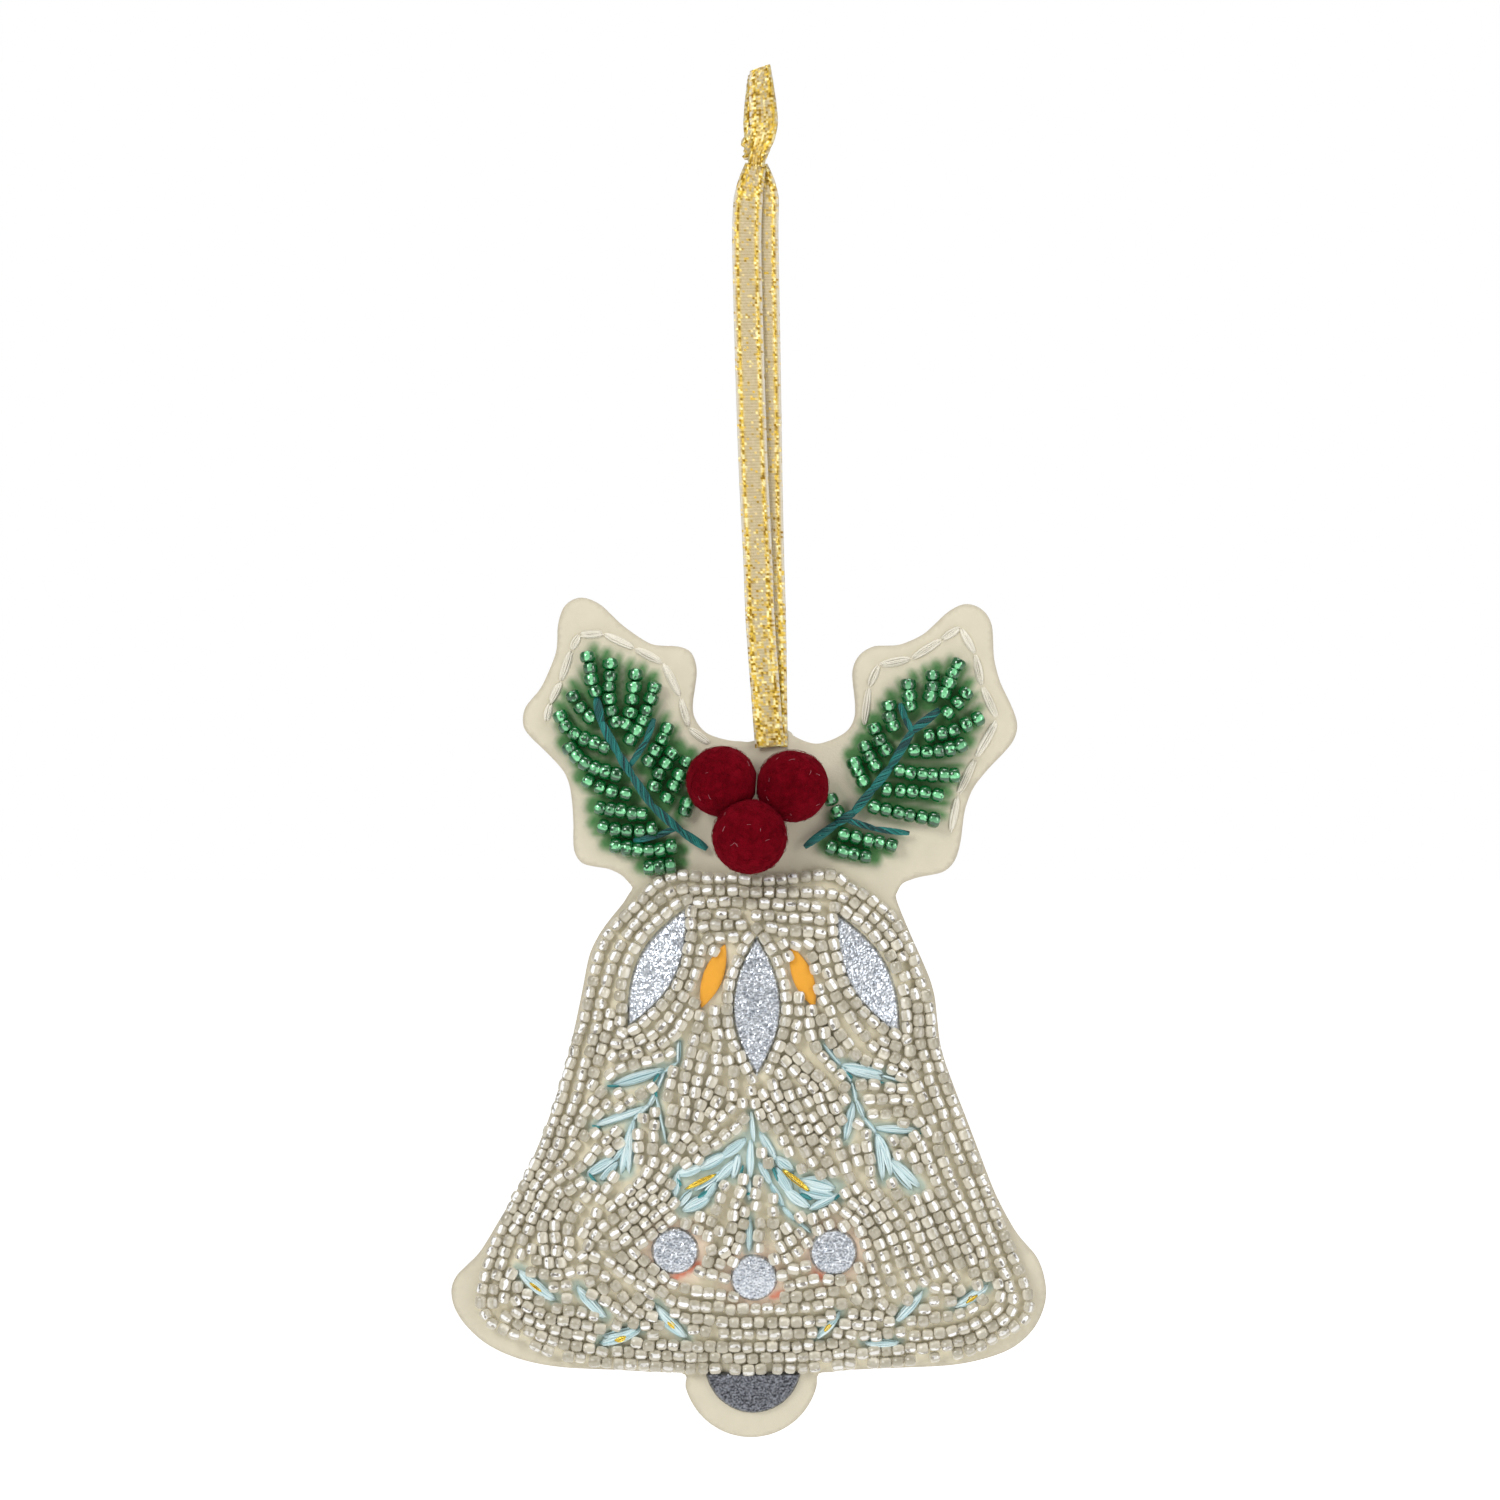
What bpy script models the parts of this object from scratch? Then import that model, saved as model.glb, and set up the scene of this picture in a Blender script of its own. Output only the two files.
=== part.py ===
"""A Christmas bell ornament: two layers of cut felt, stuffed, beaded and embroidered by hand, with
two holly leaves, three felt balls and a clapper tab, hanging on a doubled gilt ribbon.

The front faces -Y and +Z is up. The origin is the hang point, inside the ribbon's loop just under
its knot, and y = 0 is the ribbon's middle plane. Lengths in this file are millimetres until a
mesh is made, which is in metres.
"""

import math

import bmesh
import bpy
import numpy as np

MM = 0.001  # one millimetre in metres

# Cloth
FELT = 1.2  # thickness of a felt layer
GAP = 0.3  # clearance between pieces that touch
FRONT = 0.85  # y of the front felt's face where it lies flat
BELL_RISE = 6.0  # how far the stuffing lifts the front felt over the bell
LEAF_RISE = 1.2  # the same over the leaves and the clapper tab
RISE_REACH = 20.0  # distance from the cut edge over which the felt rises
RISE_BY_HEIGHT = (  # z and the rise there: clapper tab, hem, bell from -190 to -134, leaves
    (-216, LEAF_RISE), (-203, 3.0), (-190, BELL_RISE), (-134, BELL_RISE), (-116, LEAF_RISE),
)
LATTICE = 6.0  # spacing of the points that every domed piece shares
LATTICE_MARGIN = 1.2  # least distance that the lattice runs past an outline
CUTTER_DEPTH = 20.0  # reach of a cutter to either side of y = 0
CUTTER_STEP = 0.37  # how much deeper each next outline of a cutter is, so that no ends coincide

# Trimmings, as heights over the felt that they are sewn to
BEAD_HEIGHT = 1.7  # silver seed beads
LEAF_BEAD_WIDTH = 2.4  # green seed beads, across a strand
LEAF_BEAD_HEIGHT = 2.2
THREAD = 0.5  # thread that carries the green beads
THREAD_LIFT = 0.1  # its underside over theirs
RIB_WIDTH = 1.6  # stranded floss of a leaf's midrib
RIB_HEIGHT = 0.8
STITCH_WIDTH = 0.9  # straight ivory stitch
STITCH_HEIGHT = 0.4
FLOSS_HEIGHT = 0.8  # satin stitch
GOLD_HEIGHT = 0.5  # gold thread on the satin stitch
GLITTER_HEIGHT = 1.1  # glitter cloth
ORANGE_HEIGHT = 0.7  # thin orange felt

# Clapper tab: an arc below the hem
CLAPPER_CENTRE = (-1.2, -206.4)
CLAPPER_RADIUS = 11.5
CLAPPER_GLITTER_CENTRE = (-0.8, -205.4)
CLAPPER_GLITTER_RADIUS = 8.2

# Bead borders
BORDER = 3.7  # width of the side borders, two rows of beads
CROWN_LINE = -135.5  # z where the crown's rows end
HEM_LINE = -195.2  # z where the hem's rows begin
HEM_BASE = -206.9

# Ribbon
RIBBON = 5.0  # width
RIBBON_THICK = 0.4  # one layer
FOLD = -94.0  # z where the ornament folds on its ribbon
FOLD_GAP = 2.4  # bare length there, so that strand and foot clear each other when it is folded
STRAND_TOP = -0.4
WAIST = 3.0  # width of a strand where the knot draws it in
WAIST_LENGTH = 6.0  # distance below the knot over which it spreads to its full width
KNOT_SIZE = (5.6, 3.0, 5.4)
KNOT_CENTRE = (0.5, 0.0, 3.1)
KNOT_ROUNDING = 1.1

# Felt balls: centre x, z and radius, and how far the front one stands off
BALLS = {
    "pompom_left": (-6.2, -105.6, 5.95, 0.0),
    "pompom_right": (5.8, -106.4, 6.1, 0.0),
    "pompom_bottom": (-1.4, -114.9, 6.3, 3.2),
}
BALL_DEPTH = 5.2  # radius of a ball from front to back
BALL_SEAT = 0.86  # share of that radius between its centre and the felt, where it is pressed flat

# The cut edge, from the left of the ribbon down the left side and up the right
LEFT_LEAF_EDGE = (
    (-1, -98.9), (-4.6, -98.8), (-8.8, -97.5), (-11, -94.7), (-11.2, -91.6), (-10.6, -86.9),
    (-11.6, -83.6), (-14.3, -82.6), (-18.4, -82.2), (-23.5, -78.8), (-26.9, -75.6), (-30.3, -74.3),
    (-33.1, -75.8), (-34.2, -79.4), (-34.5, -83.6), (-37.1, -89.7), (-39.7, -93), (-39.9, -96.6),
    (-36.9, -99.9), (-33.2, -103.9), (-31.9, -107.8), (-31.5, -113.1), (-31.4, -117.3),
    (-29.8, -119.7), (-25.8, -120.5), (-23.1, -121.8), (-21.4, -123.9),
)
LEFT_SIDE_EDGE = (
    (-21.4, -123.9), (-23.1, -126.7), (-26.2, -130.6), (-28.6, -135), (-29.8, -140.6),
    (-31.3, -147.9), (-33, -154.7), (-35.9, -163.9), (-39.8, -173.1), (-44.4, -181.2),
    (-47.9, -186.8), (-51.5, -190.4), (-52.4, -193.5), (-51, -197.4), (-46.9, -201.6),
    (-41.1, -204.4), (-33.7, -205.9), (-23.5, -206.4), (-12.6, -207.1),
)
RIGHT_SIDE_EDGE = (
    (10.3, -207.1), (15.6, -206.4), (24.1, -206), (32.5, -205.6), (38.6, -204.5), (43.7, -202.5),
    (47.3, -199.1), (49.1, -194.8), (49, -190.9), (47.6, -187.1), (44.4, -183.3), (40.8, -176.8),
    (38.1, -170), (35.4, -162.9), (32.9, -156.4), (31.1, -150.5), (30.2, -142.8), (28.9, -138.4),
    (26.2, -132.3), (24, -127), (23.5, -125.3),
)
RIGHT_LEAF_EDGE = (
    (23.5, -125.3), (24.7, -123.1), (27.9, -121.9), (31.6, -121.1), (33.7, -119), (34.7, -115.3),
    (35.3, -110.8), (36.9, -106.6), (40, -102.8), (43.3, -99.2), (44.3, -95.9), (43, -92.1),
    (41.4, -88.7), (40.3, -84.3), (40, -79.2), (38.4, -76.4), (35.5, -75.4), (32.3, -77),
    (28.6, -80.4), (24.1, -82.4), (20.1, -82.6), (17.4, -84.2), (16.3, -87), (16.6, -90.6),
    (16.7, -94.5), (15, -97.4), (10.5, -99.3), (7.1, -98.5), (4.8, -97.1),
)
FILLING_EDGE = (
    (-8, -124.5), (9, -124.5), (20, -131), (25, -143), (28, -157), (34, -173), (41, -186.5),
    (44, -194), (38, -199.5), (20, -201.5), (-1, -202), (-22, -201.5), (-41, -199.5), (-47, -194.5),
    (-42, -184.5), (-33, -168), (-27.5, -151), (-24.5, -138), (-19, -130),
)

# The beaded field inside that edge
FIELD_TOP = (
    (-20.1, -125.3), (-17.5, -122.6), (-13.3, -120.9), (-7.3, -121.4), (-0.5, -121.9), (6, -121.4),
    (12.4, -120.9), (15.6, -122.7), (20.7, -126.3), (23, -128.4),
)
FIELD_LEFT = (
    (-20.1, -125.3), (-24.8, -130.2), (-27.2, -134), (-28.6, -139.4), (-30.1, -147.1),
    (-34.7, -163.5), (-38.6, -172.6), (-44.2, -183.6), (-47.1, -192.4), (-47.4, -195.8),
)
FIELD_RIGHT = (
    (23, -128.4), (25.5, -132.9), (27.7, -138.6), (29.1, -143.7), (29.9, -150.5), (34, -162.9),
    (39.1, -176), (43.2, -186.2), (46.2, -193.3), (46.2, -195.8),
)
HEM_LEFT = (
    (-47.4, -195.8), (-46.1, -198.1), (-42.5, -200.1), (-38.6, -202.3), (-33.7, -204.2),
    (-28.6, -205.3), (-20.1, -206), (-12.4, -206.5),
)
HEM_RIGHT = (
    (46.2, -195.8), (45.4, -197.9), (42.2, -200.1), (37.7, -202.8), (32.6, -204.2),
    (23.6, -205.4), (15.6, -205.8), (10.1, -206.4),
)

# Motifs: tips and width of each pointed shape, centre and radius of each disc
MARQUISES = {
    "glitter_marquise_left": ((-12.2, -127.2), (-22.1, -147.4), 7.1),
    "glitter_marquise_centre": ((-0.2, -131.9), (-0.2, -155.6), 8.3),
    "glitter_marquise_right": ((13.4, -128.2), (24.1, -148.8), 7.1),
}
ORANGE_LEAVES = {
    "orange_leaf_left": ((-5.8, -133.5), (-9.4, -143.7), 3.0),
    "orange_leaf_right": ((5.8, -133.8), (9.5, -143.7), 3.0),
}
DISCS = {
    "glitter_disc_left": (-14.1, -185.3),
    "glitter_disc_centre": (-0.7, -189.9),
    "glitter_disc_right": (12.8, -185.5),
}
DISC_RADIUS = 4.0

# Satin-stitched sprigs: a stem with its width, and leaves as two tips and a width
SPRIGS = {
    "centre_sprig_stem": (
        ((-1.1, -161.7), (-0.9, -166.4), (-1.1, -171.4), (-1.3, -177), (-1.6, -180.2)),
        1.3,
        ((-1.5, -179.2), (-1.7, -185.2), 1.6),
    ),
    "left_sprig": (
        ((-13.6, -150.2), (-15.8, -154.9), (-18.4, -160.8), (-20.7, -162.9), (-24.3, -170)),
        0.9,
        ((-15.4, -154.8), (-25, -157.6), 1.8),
        ((-18, -160.3), (-27.9, -164.6), 1.8),
        ((-20.7, -162.4), (-22.6, -172.4), 2.9),
        ((-23.4, -169.1), (-28.9, -172.6), 2.4),
    ),
    "right_sprig": (
        ((11.1, -150), (14.3, -153.9), (16.5, -159.4), (19.9, -165.2), (22.5, -170.2)),
        0.9,
        ((14, -153.8), (21.9, -155.9), 2.8),
        ((16.4, -159), (14.6, -166.8), 1.9),
        ((19.4, -164.8), (27.5, -165.4), 1.6),
        ((19.6, -164.8), (21.8, -173.7), 2.6),
        ((22.2, -169.4), (27.4, -175.3), 2.6),
    ),
}
PETALS = {
    "centre_sprig_left_petal": ((-2.6, -166.6), (-14.4, -176.2), 5.2),
    "centre_sprig_right_petal": ((0.9, -166), (13.9, -176.6), 5.6),
}
HEM_LEAVES = {
    "hem_leaf_1": ((-40.7, -189), (-34.5, -193.7), 2.2),
    "hem_leaf_2": ((-30.7, -191.5), (-26.0, -196.8), 2.2),
    "hem_leaf_3": ((-26.9, -201.5), (-20.1, -198.9), 2.8),
    "hem_leaf_4": ((-17.4, -194.7), (-12.2, -200.4), 2.8),
    "hem_leaf_5": ((39, -191.5), (33.3, -194.9), 2.2),
    "hem_leaf_6": ((27.9, -192.3), (23.4, -197.5), 2.6),
    "hem_leaf_7": ((13.9, -195.9), (9.8, -200.5), 2.6),
    "hem_leaf_8": ((18.2, -201.3), (24, -201.3), 1.8),
}
GOLD_ACCENTS = {
    "gold_thread_left_petal": ((-12.1, -174.4), (-7.3, -171.6), 0.9),
    "gold_thread_right_petal": ((4.6, -169.4), (8.6, -172.8), 0.8),
    "gold_thread_hem_1": ((-38.4, -190.9), (-36.7, -192), 0.8),
    "gold_thread_hem_3": ((-24.4, -200.6), (-22.4, -199.8), 0.9),
    "gold_thread_hem_4": ((-15.4, -197), (-14.1, -198.3), 0.8),
    "gold_thread_hem_5": ((37, -192.7), (35.2, -193.8), 0.8),
    "gold_thread_hem_7": ((12.4, -197.5), (11.2, -198.9), 0.8),
}

# Holly leaves: each bead strand by the points it passes, the ribs and the ivory outline stitches
STRANDS = {
    "left_leaf_bead_strands": (
        ((-29.2, -83.3), (-28.6, -87.4), (-27.5, -91.3)),
        ((-32, -90.1), (-30.1, -93.3), (-27.7, -95.4)),
        ((-34.2, -93.7), (-31.5, -97.4), (-25, -100.1)),
        ((-32.6, -99.1), (-29.8, -102.3), (-23.1, -104.7)),
        ((-29.8, -105.1), (-26.2, -106.9), (-21.4, -108.1)),
        ((-27.7, -109.8), (-23.5, -110.7), (-18.7, -111.4)),
        ((-27.4, -113.1), (-22.1, -114.2), (-17, -113.7)),
        ((-25.2, -116.5), (-19.2, -117.5), (-13.6, -116.8)),
        ((-25.2, -84.7), (-25.3, -92.1), (-24, -96.4)),
        ((-20.9, -86.4), (-21.8, -93.7), (-23.1, -96.9)),
        ((-17.5, -88.7), (-19.7, -95.4), (-22.4, -99.5)),
        ((-15.1, -95.7), (-17.3, -100.1), (-19.4, -103)),
        ((-14.1, -100.1), (-17, -104.7), (-18, -107.4)),
    ),
    "right_leaf_bead_strands": (
        ((34.7, -84.7), (33.2, -87.4), (31.3, -91.5)),
        ((36.2, -89.8), (34, -92.3), (31.6, -94.7)),
        ((38.2, -94.4), (34.7, -96.4), (28.2, -98.1)),
        ((35.4, -99.1), (30.9, -100.5), (25.7, -100.5)),
        ((34.3, -104.4), (28.9, -104.6), (23.3, -103.7)),
        ((31.6, -108.1), (26.7, -107.4), (20.9, -107.1)),
        ((30.8, -112.4), (25, -111.2), (18.9, -109.8)),
        ((23.6, -116.8), (18.7, -115.6), (13.6, -114.8)),
        ((29.9, -86.7), (29.8, -89.4), (29.2, -92.1)),
        ((25.7, -88.4), (25.8, -91.1), (26.4, -93.7)),
        ((22.3, -91.8), (22.6, -94.5), (23.6, -97.1)),
        ((19.6, -95.7), (20.7, -98.4), (22.6, -101.2)),
        ((18, -99.1), (19, -101.5), (20.6, -103.7)),
        ((16.2, -101.7), (17, -104.2), (18.4, -106.4)),
    ),
}
RIBS = {
    "left_leaf_midrib": (
        ((-27.4, -91.8), (-26.7, -95.4), (-23.8, -100.8), (-21.4, -104.7), (-18, -109.8), (-13, -114.2)),
        ((-21.6, -102.7), (-19.2, -98.9), (-18, -95.4)),
        ((-13.9, -113.6), (-17, -114.9), (-20.7, -115.6)),
    ),
    "right_leaf_midrib": (
        ((13.4, -112.9), (16.3, -111), (19.6, -107.1), (22.6, -103.4), (26.4, -97.1), (30.6, -93.7)),
        ((26.4, -97.1), (25.2, -94.9), (24.5, -92.8)),
        ((15, -112.2), (19.9, -113.7), (25.3, -114.4)),
    ),
}
OUTLINE_STITCHES = {
    "left_leaf_outline_stitches": (
        (-36.3, -95.4), (-35.6, -92.3), (-33.8, -88.6), (-31.9, -83.2), (-30.6, -80.6), (-26.4, -80.4),
        (-21.1, -82.9), (-16.3, -85.4), (-13.3, -91.3), (-11.8, -96.6), (-8.2, -99.2),
    ),
    "right_leaf_outline_stitches": (
        (18.1, -96.2), (19, -89.4), (20.6, -85.8), (26.3, -84.7), (31.5, -81.4), (34.6, -79.4),
        (37.2, -83.9), (38.3, -89.3), (41, -95), (37.2, -101.8), (34.3, -107.9), (33, -114.6),
    ),
}

# Ribbon: centrelines of the two strands from the knot to the foot, and the cut tails
FRONT_STRAND = (
    (-0.3, -0.2), (-1.5, -5.1), (-1.9, -11.9), (-1.7, -23.8), (-1.2, -40.8), (-0.7, -54.4),
    (0, -68), (0.4, -78.2), (1.4, -91.8), (2, -99.8),
)
BACK_STRAND = (
    (-0.2, -0.2), (1, -5.1), (1, -11.9), (1.2, -23.8), (1.5, -40.8), (1.7, -54.4),
    (2, -68), (2.3, -78.2), (2.5, -91.8), (2.6, -99.8),
)
TAIL_FRONT = ((-1.9, 6.2), (-2.3, 10.9), (-1.5, 16), (2.2, 17), (2.7, 11.9), (2.9, 6.2))
TAIL_BACK = ((-1, 6.2), (-1, 14.2), (1.9, 14.8), (3.7, 10), (3.6, 6.2))

# Colours and finishes: colour, roughness, metallic
CREAM_FELT = ((0.82, 0.75, 0.58), 0.95, 0.0)
WADDING = ((0.9, 0.9, 0.88), 1.0, 0.0)
RED_WOOL = ((0.33, 0.004, 0.02), 0.95, 0.0)
SILVER_BEAD = ((0.72, 0.66, 0.56), 0.2, 0.6)
GREEN_BEAD = ((0.01, 0.18, 0.05), 0.15, 0.3)
TEAL_FLOSS = ((0.0, 0.18, 0.17), 0.5, 0.0)
IVORY_FLOSS = ((0.9, 0.87, 0.78), 0.6, 0.0)
BLUE_FLOSS = ((0.6, 0.76, 0.79), 0.5, 0.0)
GOLD_THREAD = ((0.75, 0.55, 0.08), 0.3, 0.9)
GLITTER = ((0.7, 0.72, 0.76), 0.35, 0.8)
DARK_GLITTER = ((0.3, 0.31, 0.34), 0.4, 0.8)
ORANGE_FELT = ((0.95, 0.4, 0.02), 0.9, 0.0)
GILT_RIBBON = ((0.72, 0.5, 0.14), 0.35, 0.8)


def collection(name, rendered=True):
    made = bpy.data.collections.new(name)
    bpy.context.scene.collection.children.link(made)
    made.hide_render = not rendered
    return made


def finish(obj, surface):
    """Gives the object a Principled material of its own, named after it."""
    colour, roughness, metallic = surface
    material = bpy.data.materials.new(obj.name)
    material.use_nodes = True
    shader = material.node_tree.nodes["Principled BSDF"]
    shader.inputs["Base Color"].default_value = (*colour, 1.0)
    shader.inputs["Roughness"].default_value = roughness
    shader.inputs["Metallic"].default_value = metallic
    obj.data.materials.append(material)
    return obj


def smooth(points, steps=3, closed=False):
    """A Catmull-Rom curve through the points, with this many steps between neighbours."""
    p = np.asarray(points, float)
    ends = (p[-1], p[:2]) if closed else (2 * p[0] - p[1], 2 * p[-1] - p[-2])
    p = np.vstack([ends[0], p, ends[1]])
    t = (np.arange(steps) / steps)[:, None]
    spans = [
        (2 * b + (c - a) * t + (2 * a - 5 * b + 4 * c - d) * t**2 + (3 * b - a - 3 * c + d) * t**3) / 2
        for a, b, c, d in zip(p, p[1:], p[2:], p[3:])
    ]
    curve = np.vstack(spans)
    return curve if closed else np.vstack([curve, p[-2]])


def disc(centre, radius, sides=20):
    turn = np.arange(sides) * 2 * math.pi / sides
    return np.array(centre) + radius * np.column_stack([np.cos(turn), np.sin(turn)])


def lens(tip, other_tip, width, grow=0.0, steps=5):
    """A pointed leaf between two tips: each side is half a sine wave, so its ends are sharp."""
    a, b = np.array(tip), np.array(other_tip)
    along = (b - a) / np.linalg.norm(b - a)
    a, b = a - 1.5 * grow * along, b + 1.5 * grow * along
    across = np.array([along[1], -along[0]])
    t = np.arange(1, steps) / steps
    middle = a + np.outer(t, b - a)
    side = np.outer(np.sin(math.pi * t), across) * (width / 2 + grow)
    return np.vstack([a, middle + side, b, (middle - side)[::-1]])


def edge_normals(line):
    """Unit vectors to the left of an open line at each of its points."""
    along = np.gradient(line, axis=0)
    along /= np.linalg.norm(along, axis=1)[:, None]
    return np.column_stack([-along[:, 1], along[:, 0]])


def stroke(points, width, grow=0.0, steps=2):
    """The outline of a line of this width, with three-cornered round ends."""
    line = smooth(points, steps)
    half = width / 2 + grow
    side = edge_normals(line) * half
    start, end = line[0] - line[1], line[-1] - line[-2]
    start, end = start / np.linalg.norm(start), end / np.linalg.norm(end)
    return np.vstack([
        line[0] + start * half, line - side, line[-1] + end * half, (line + side)[::-1],
    ])


def ribbon_strip(points, low, high):
    """A ribbon's outline between two heights: full width along the line, drawn in by the knot."""
    line = smooth(points, 4)
    line = line[(line[:, 1] > low) & (line[:, 1] < high)]
    ends = [[np.interp(-z, -line[:, 1], line[:, 0]), z] for z in (high, low)]
    line = np.vstack([ends[0], line, ends[1]])
    half = np.interp(-line[:, 1], (0, WAIST_LENGTH), (WAIST / 2, RIBBON / 2))
    side = np.column_stack([half, np.zeros(len(line))])
    return np.vstack([line - side, (line + side)[::-1]])


def ornament_edge():
    """The cut edge of both felt layers as one closed loop, with the clapper's arc at the bottom."""
    left = np.vstack([smooth(LEFT_LEAF_EDGE, 2)[:-1], smooth(LEFT_SIDE_EDGE, 2)])
    right = np.vstack([smooth(RIGHT_SIDE_EDGE, 2)[:-1], smooth(RIGHT_LEAF_EDGE, 2)])
    x, z = CLAPPER_CENTRE
    start, end = (math.atan2(p[1] - z, p[0] - x) for p in (left[-1], right[0]))
    turn = np.linspace(start % (2 * math.pi), end % (2 * math.pi), 16)[1:-1]
    arc = np.array([x, z]) + CLAPPER_RADIUS * np.column_stack([np.cos(turn), np.sin(turn)])
    return np.vstack([left, arc, right])


EDGE = ornament_edge()


def edge_distance(points):
    """Distance of each point from the cut edge, and nought outside it."""
    a, b = EDGE, np.roll(EDGE, -1, axis=0)
    run = b - a
    to = points[:, None] - a
    t = np.clip((to * run).sum(2) / (run**2).sum(1), 0, 1)
    near = np.linalg.norm(to - t[..., None] * run, axis=2).min(axis=1)
    above = (a[:, 1] > points[:, None, 1]) != (b[:, 1] > points[:, None, 1])
    with np.errstate(divide="ignore", invalid="ignore"):
        crossing = a[:, 0] + (points[:, None, 1] - a[:, 1]) * run[:, 0] / run[:, 1]
    inside = (above & (points[:, None, 0] < crossing)).sum(1) % 2 == 1
    return np.where(inside, near, 0.0)


def dome(points):
    """How far the stuffing lifts the front felt at points (x, z): a quarter sine wave in from the
    edge, low over the leaves and the clapper and high over the bell."""
    rise = np.interp(points[:, 1], *zip(*RISE_BY_HEIGHT))
    return rise * np.sin(math.pi / 2 * np.minimum(edge_distance(points) / RISE_REACH, 1))


def to_metres(points, y):
    """Points (x, z) in millimetres, at depths y, as rows in metres."""
    return np.column_stack([points[:, 0], np.broadcast_to(y, len(points)), points[:, 1]]) * MM


def prism(name, loop, low, high):
    """The filled outline as a 2D curve stood up in the XZ plane, from y = low to high."""
    curve = bpy.data.curves.new(name, "CURVE")
    curve.dimensions = "2D"
    curve.fill_mode = "BOTH"
    curve.extrude = (high - low) / 2 * MM
    spline = curve.splines.new("POLY")
    spline.points.add(len(loop) - 1)
    corners = np.zeros((len(loop), 4))
    corners[:, :2] = loop * MM
    spline.points.foreach_set("co", corners.ravel())
    spline.use_cyclic_u = True
    obj = bpy.data.objects.new(name, curve)
    obj.location.y = (low + high) / 2 * MM
    obj.rotation_euler.x = math.pi / 2
    return obj


def boolean(obj, other, operation):
    made = obj.modifiers.new(f"{operation.lower()} {other.name}", "BOOLEAN")
    made.operation = operation
    made.object = other


def cutter(name, outlines, low=-CUTTER_DEPTH, high=CUTTER_DEPTH):
    """A hidden mesh that is the union of one prism for each outline. Each next prism is a little
    deeper than the last, because the ends of overlapping ones must not lie in one plane."""
    made = []
    for i, outline in enumerate(outlines):
        flat = prism(name, outline, low - i * CUTTER_STEP, high + i * CUTTER_STEP)
        cutters.objects.link(flat)
        bpy.context.view_layer.update()
        graph = bpy.context.evaluated_depsgraph_get()
        mesh = bpy.data.meshes.new_from_object(flat.evaluated_get(graph))
        bm = bmesh.new()
        bm.from_mesh(mesh)
        bmesh.ops.remove_doubles(bm, verts=bm.verts, dist=1e-6)
        bmesh.ops.recalc_face_normals(bm, faces=bm.faces)
        bm.to_mesh(mesh)
        bm.free()
        obj = bpy.data.objects.new(name, mesh)
        obj.matrix_world = flat.matrix_world
        bpy.data.objects.remove(flat)
        cutters.objects.link(obj)
        obj.hide_render = True
        obj.display_type = "WIRE"
        made.append(obj)
    for other in made[1:]:
        boolean(made[0], other, "UNION")
    return made[0]


def domed_plate(name, outlines, lift, thickness):
    """A sheet that follows the front felt: the lattice under the outlines, raised by the dome and
    the lift, and as thick as said along Y. Its back face is the lower one."""
    reach = np.vstack(outlines)
    low = np.floor((reach.min(axis=0) - LATTICE_MARGIN) / LATTICE) * LATTICE
    high = np.ceil((reach.max(axis=0) + LATTICE_MARGIN) / LATTICE) * LATTICE
    cells = np.rint((high - low) / LATTICE).astype(int)
    bm = bmesh.new()
    bmesh.ops.create_grid(bm, x_segments=int(cells[0]), y_segments=int(cells[1]), size=0.5)
    at = low + (np.array([v.co[:2] for v in bm.verts]) + 0.5) * (high - low)
    for vert, place in zip(bm.verts, to_metres(at, FRONT - dome(at) - lift)):
        vert.co = place
    bmesh.ops.triangulate(bm, faces=bm.faces, quad_method="FIXED")
    top = bmesh.ops.extrude_face_region(bm, geom=bm.faces[:], use_keep_orig=True)["geom"]
    raised = [v for v in top if isinstance(v, bmesh.types.BMVert)]
    bmesh.ops.translate(bm, verts=raised, vec=(0, -thickness * MM, 0))
    bmesh.ops.recalc_face_normals(bm, faces=bm.faces)
    mesh = bpy.data.meshes.new(name)
    bm.to_mesh(mesh)
    bm.free()
    return bpy.data.objects.new(name, mesh)


def applique(name, outlines, lift, thickness, surface):
    """A piece sewn on the front felt: the domed sheet cut to the union of its outlines."""
    obj = domed_plate(name, outlines, lift, thickness)
    parts.objects.link(obj)
    boolean(obj, cutter(name + "_outline", outlines), "INTERSECT")
    return finish(obj, surface)


def flat_piece(name, loop, low, high, surface):
    """A flat cut piece between two depths y."""
    obj = prism(name, loop, low, high)
    parts.objects.link(obj)
    return finish(obj, surface)


def make_felt():
    """The two cut layers, and the stuffing under the dome, which stays clear of both. The stuffing
    starts thicker than the dome is high, and its cutter trims its back flat."""
    back = FRONT + FELT + GAP
    flat_piece("back_panel", EDGE, back, back + FELT, CREAM_FELT)
    applique("front_panel", [EDGE], -FELT, FELT, CREAM_FELT)
    outline = [smooth(FILLING_EDGE, 1, closed=True)]
    filling = domed_plate("bell_filling", outline, -(FELT + GAP + 2 * BELL_RISE), 2 * BELL_RISE)
    parts.objects.link(filling)
    shape = cutter("bell_filling_outline", outline, high=FRONT + FELT)
    boolean(filling, shape, "INTERSECT")
    finish(filling, WADDING)


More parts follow.
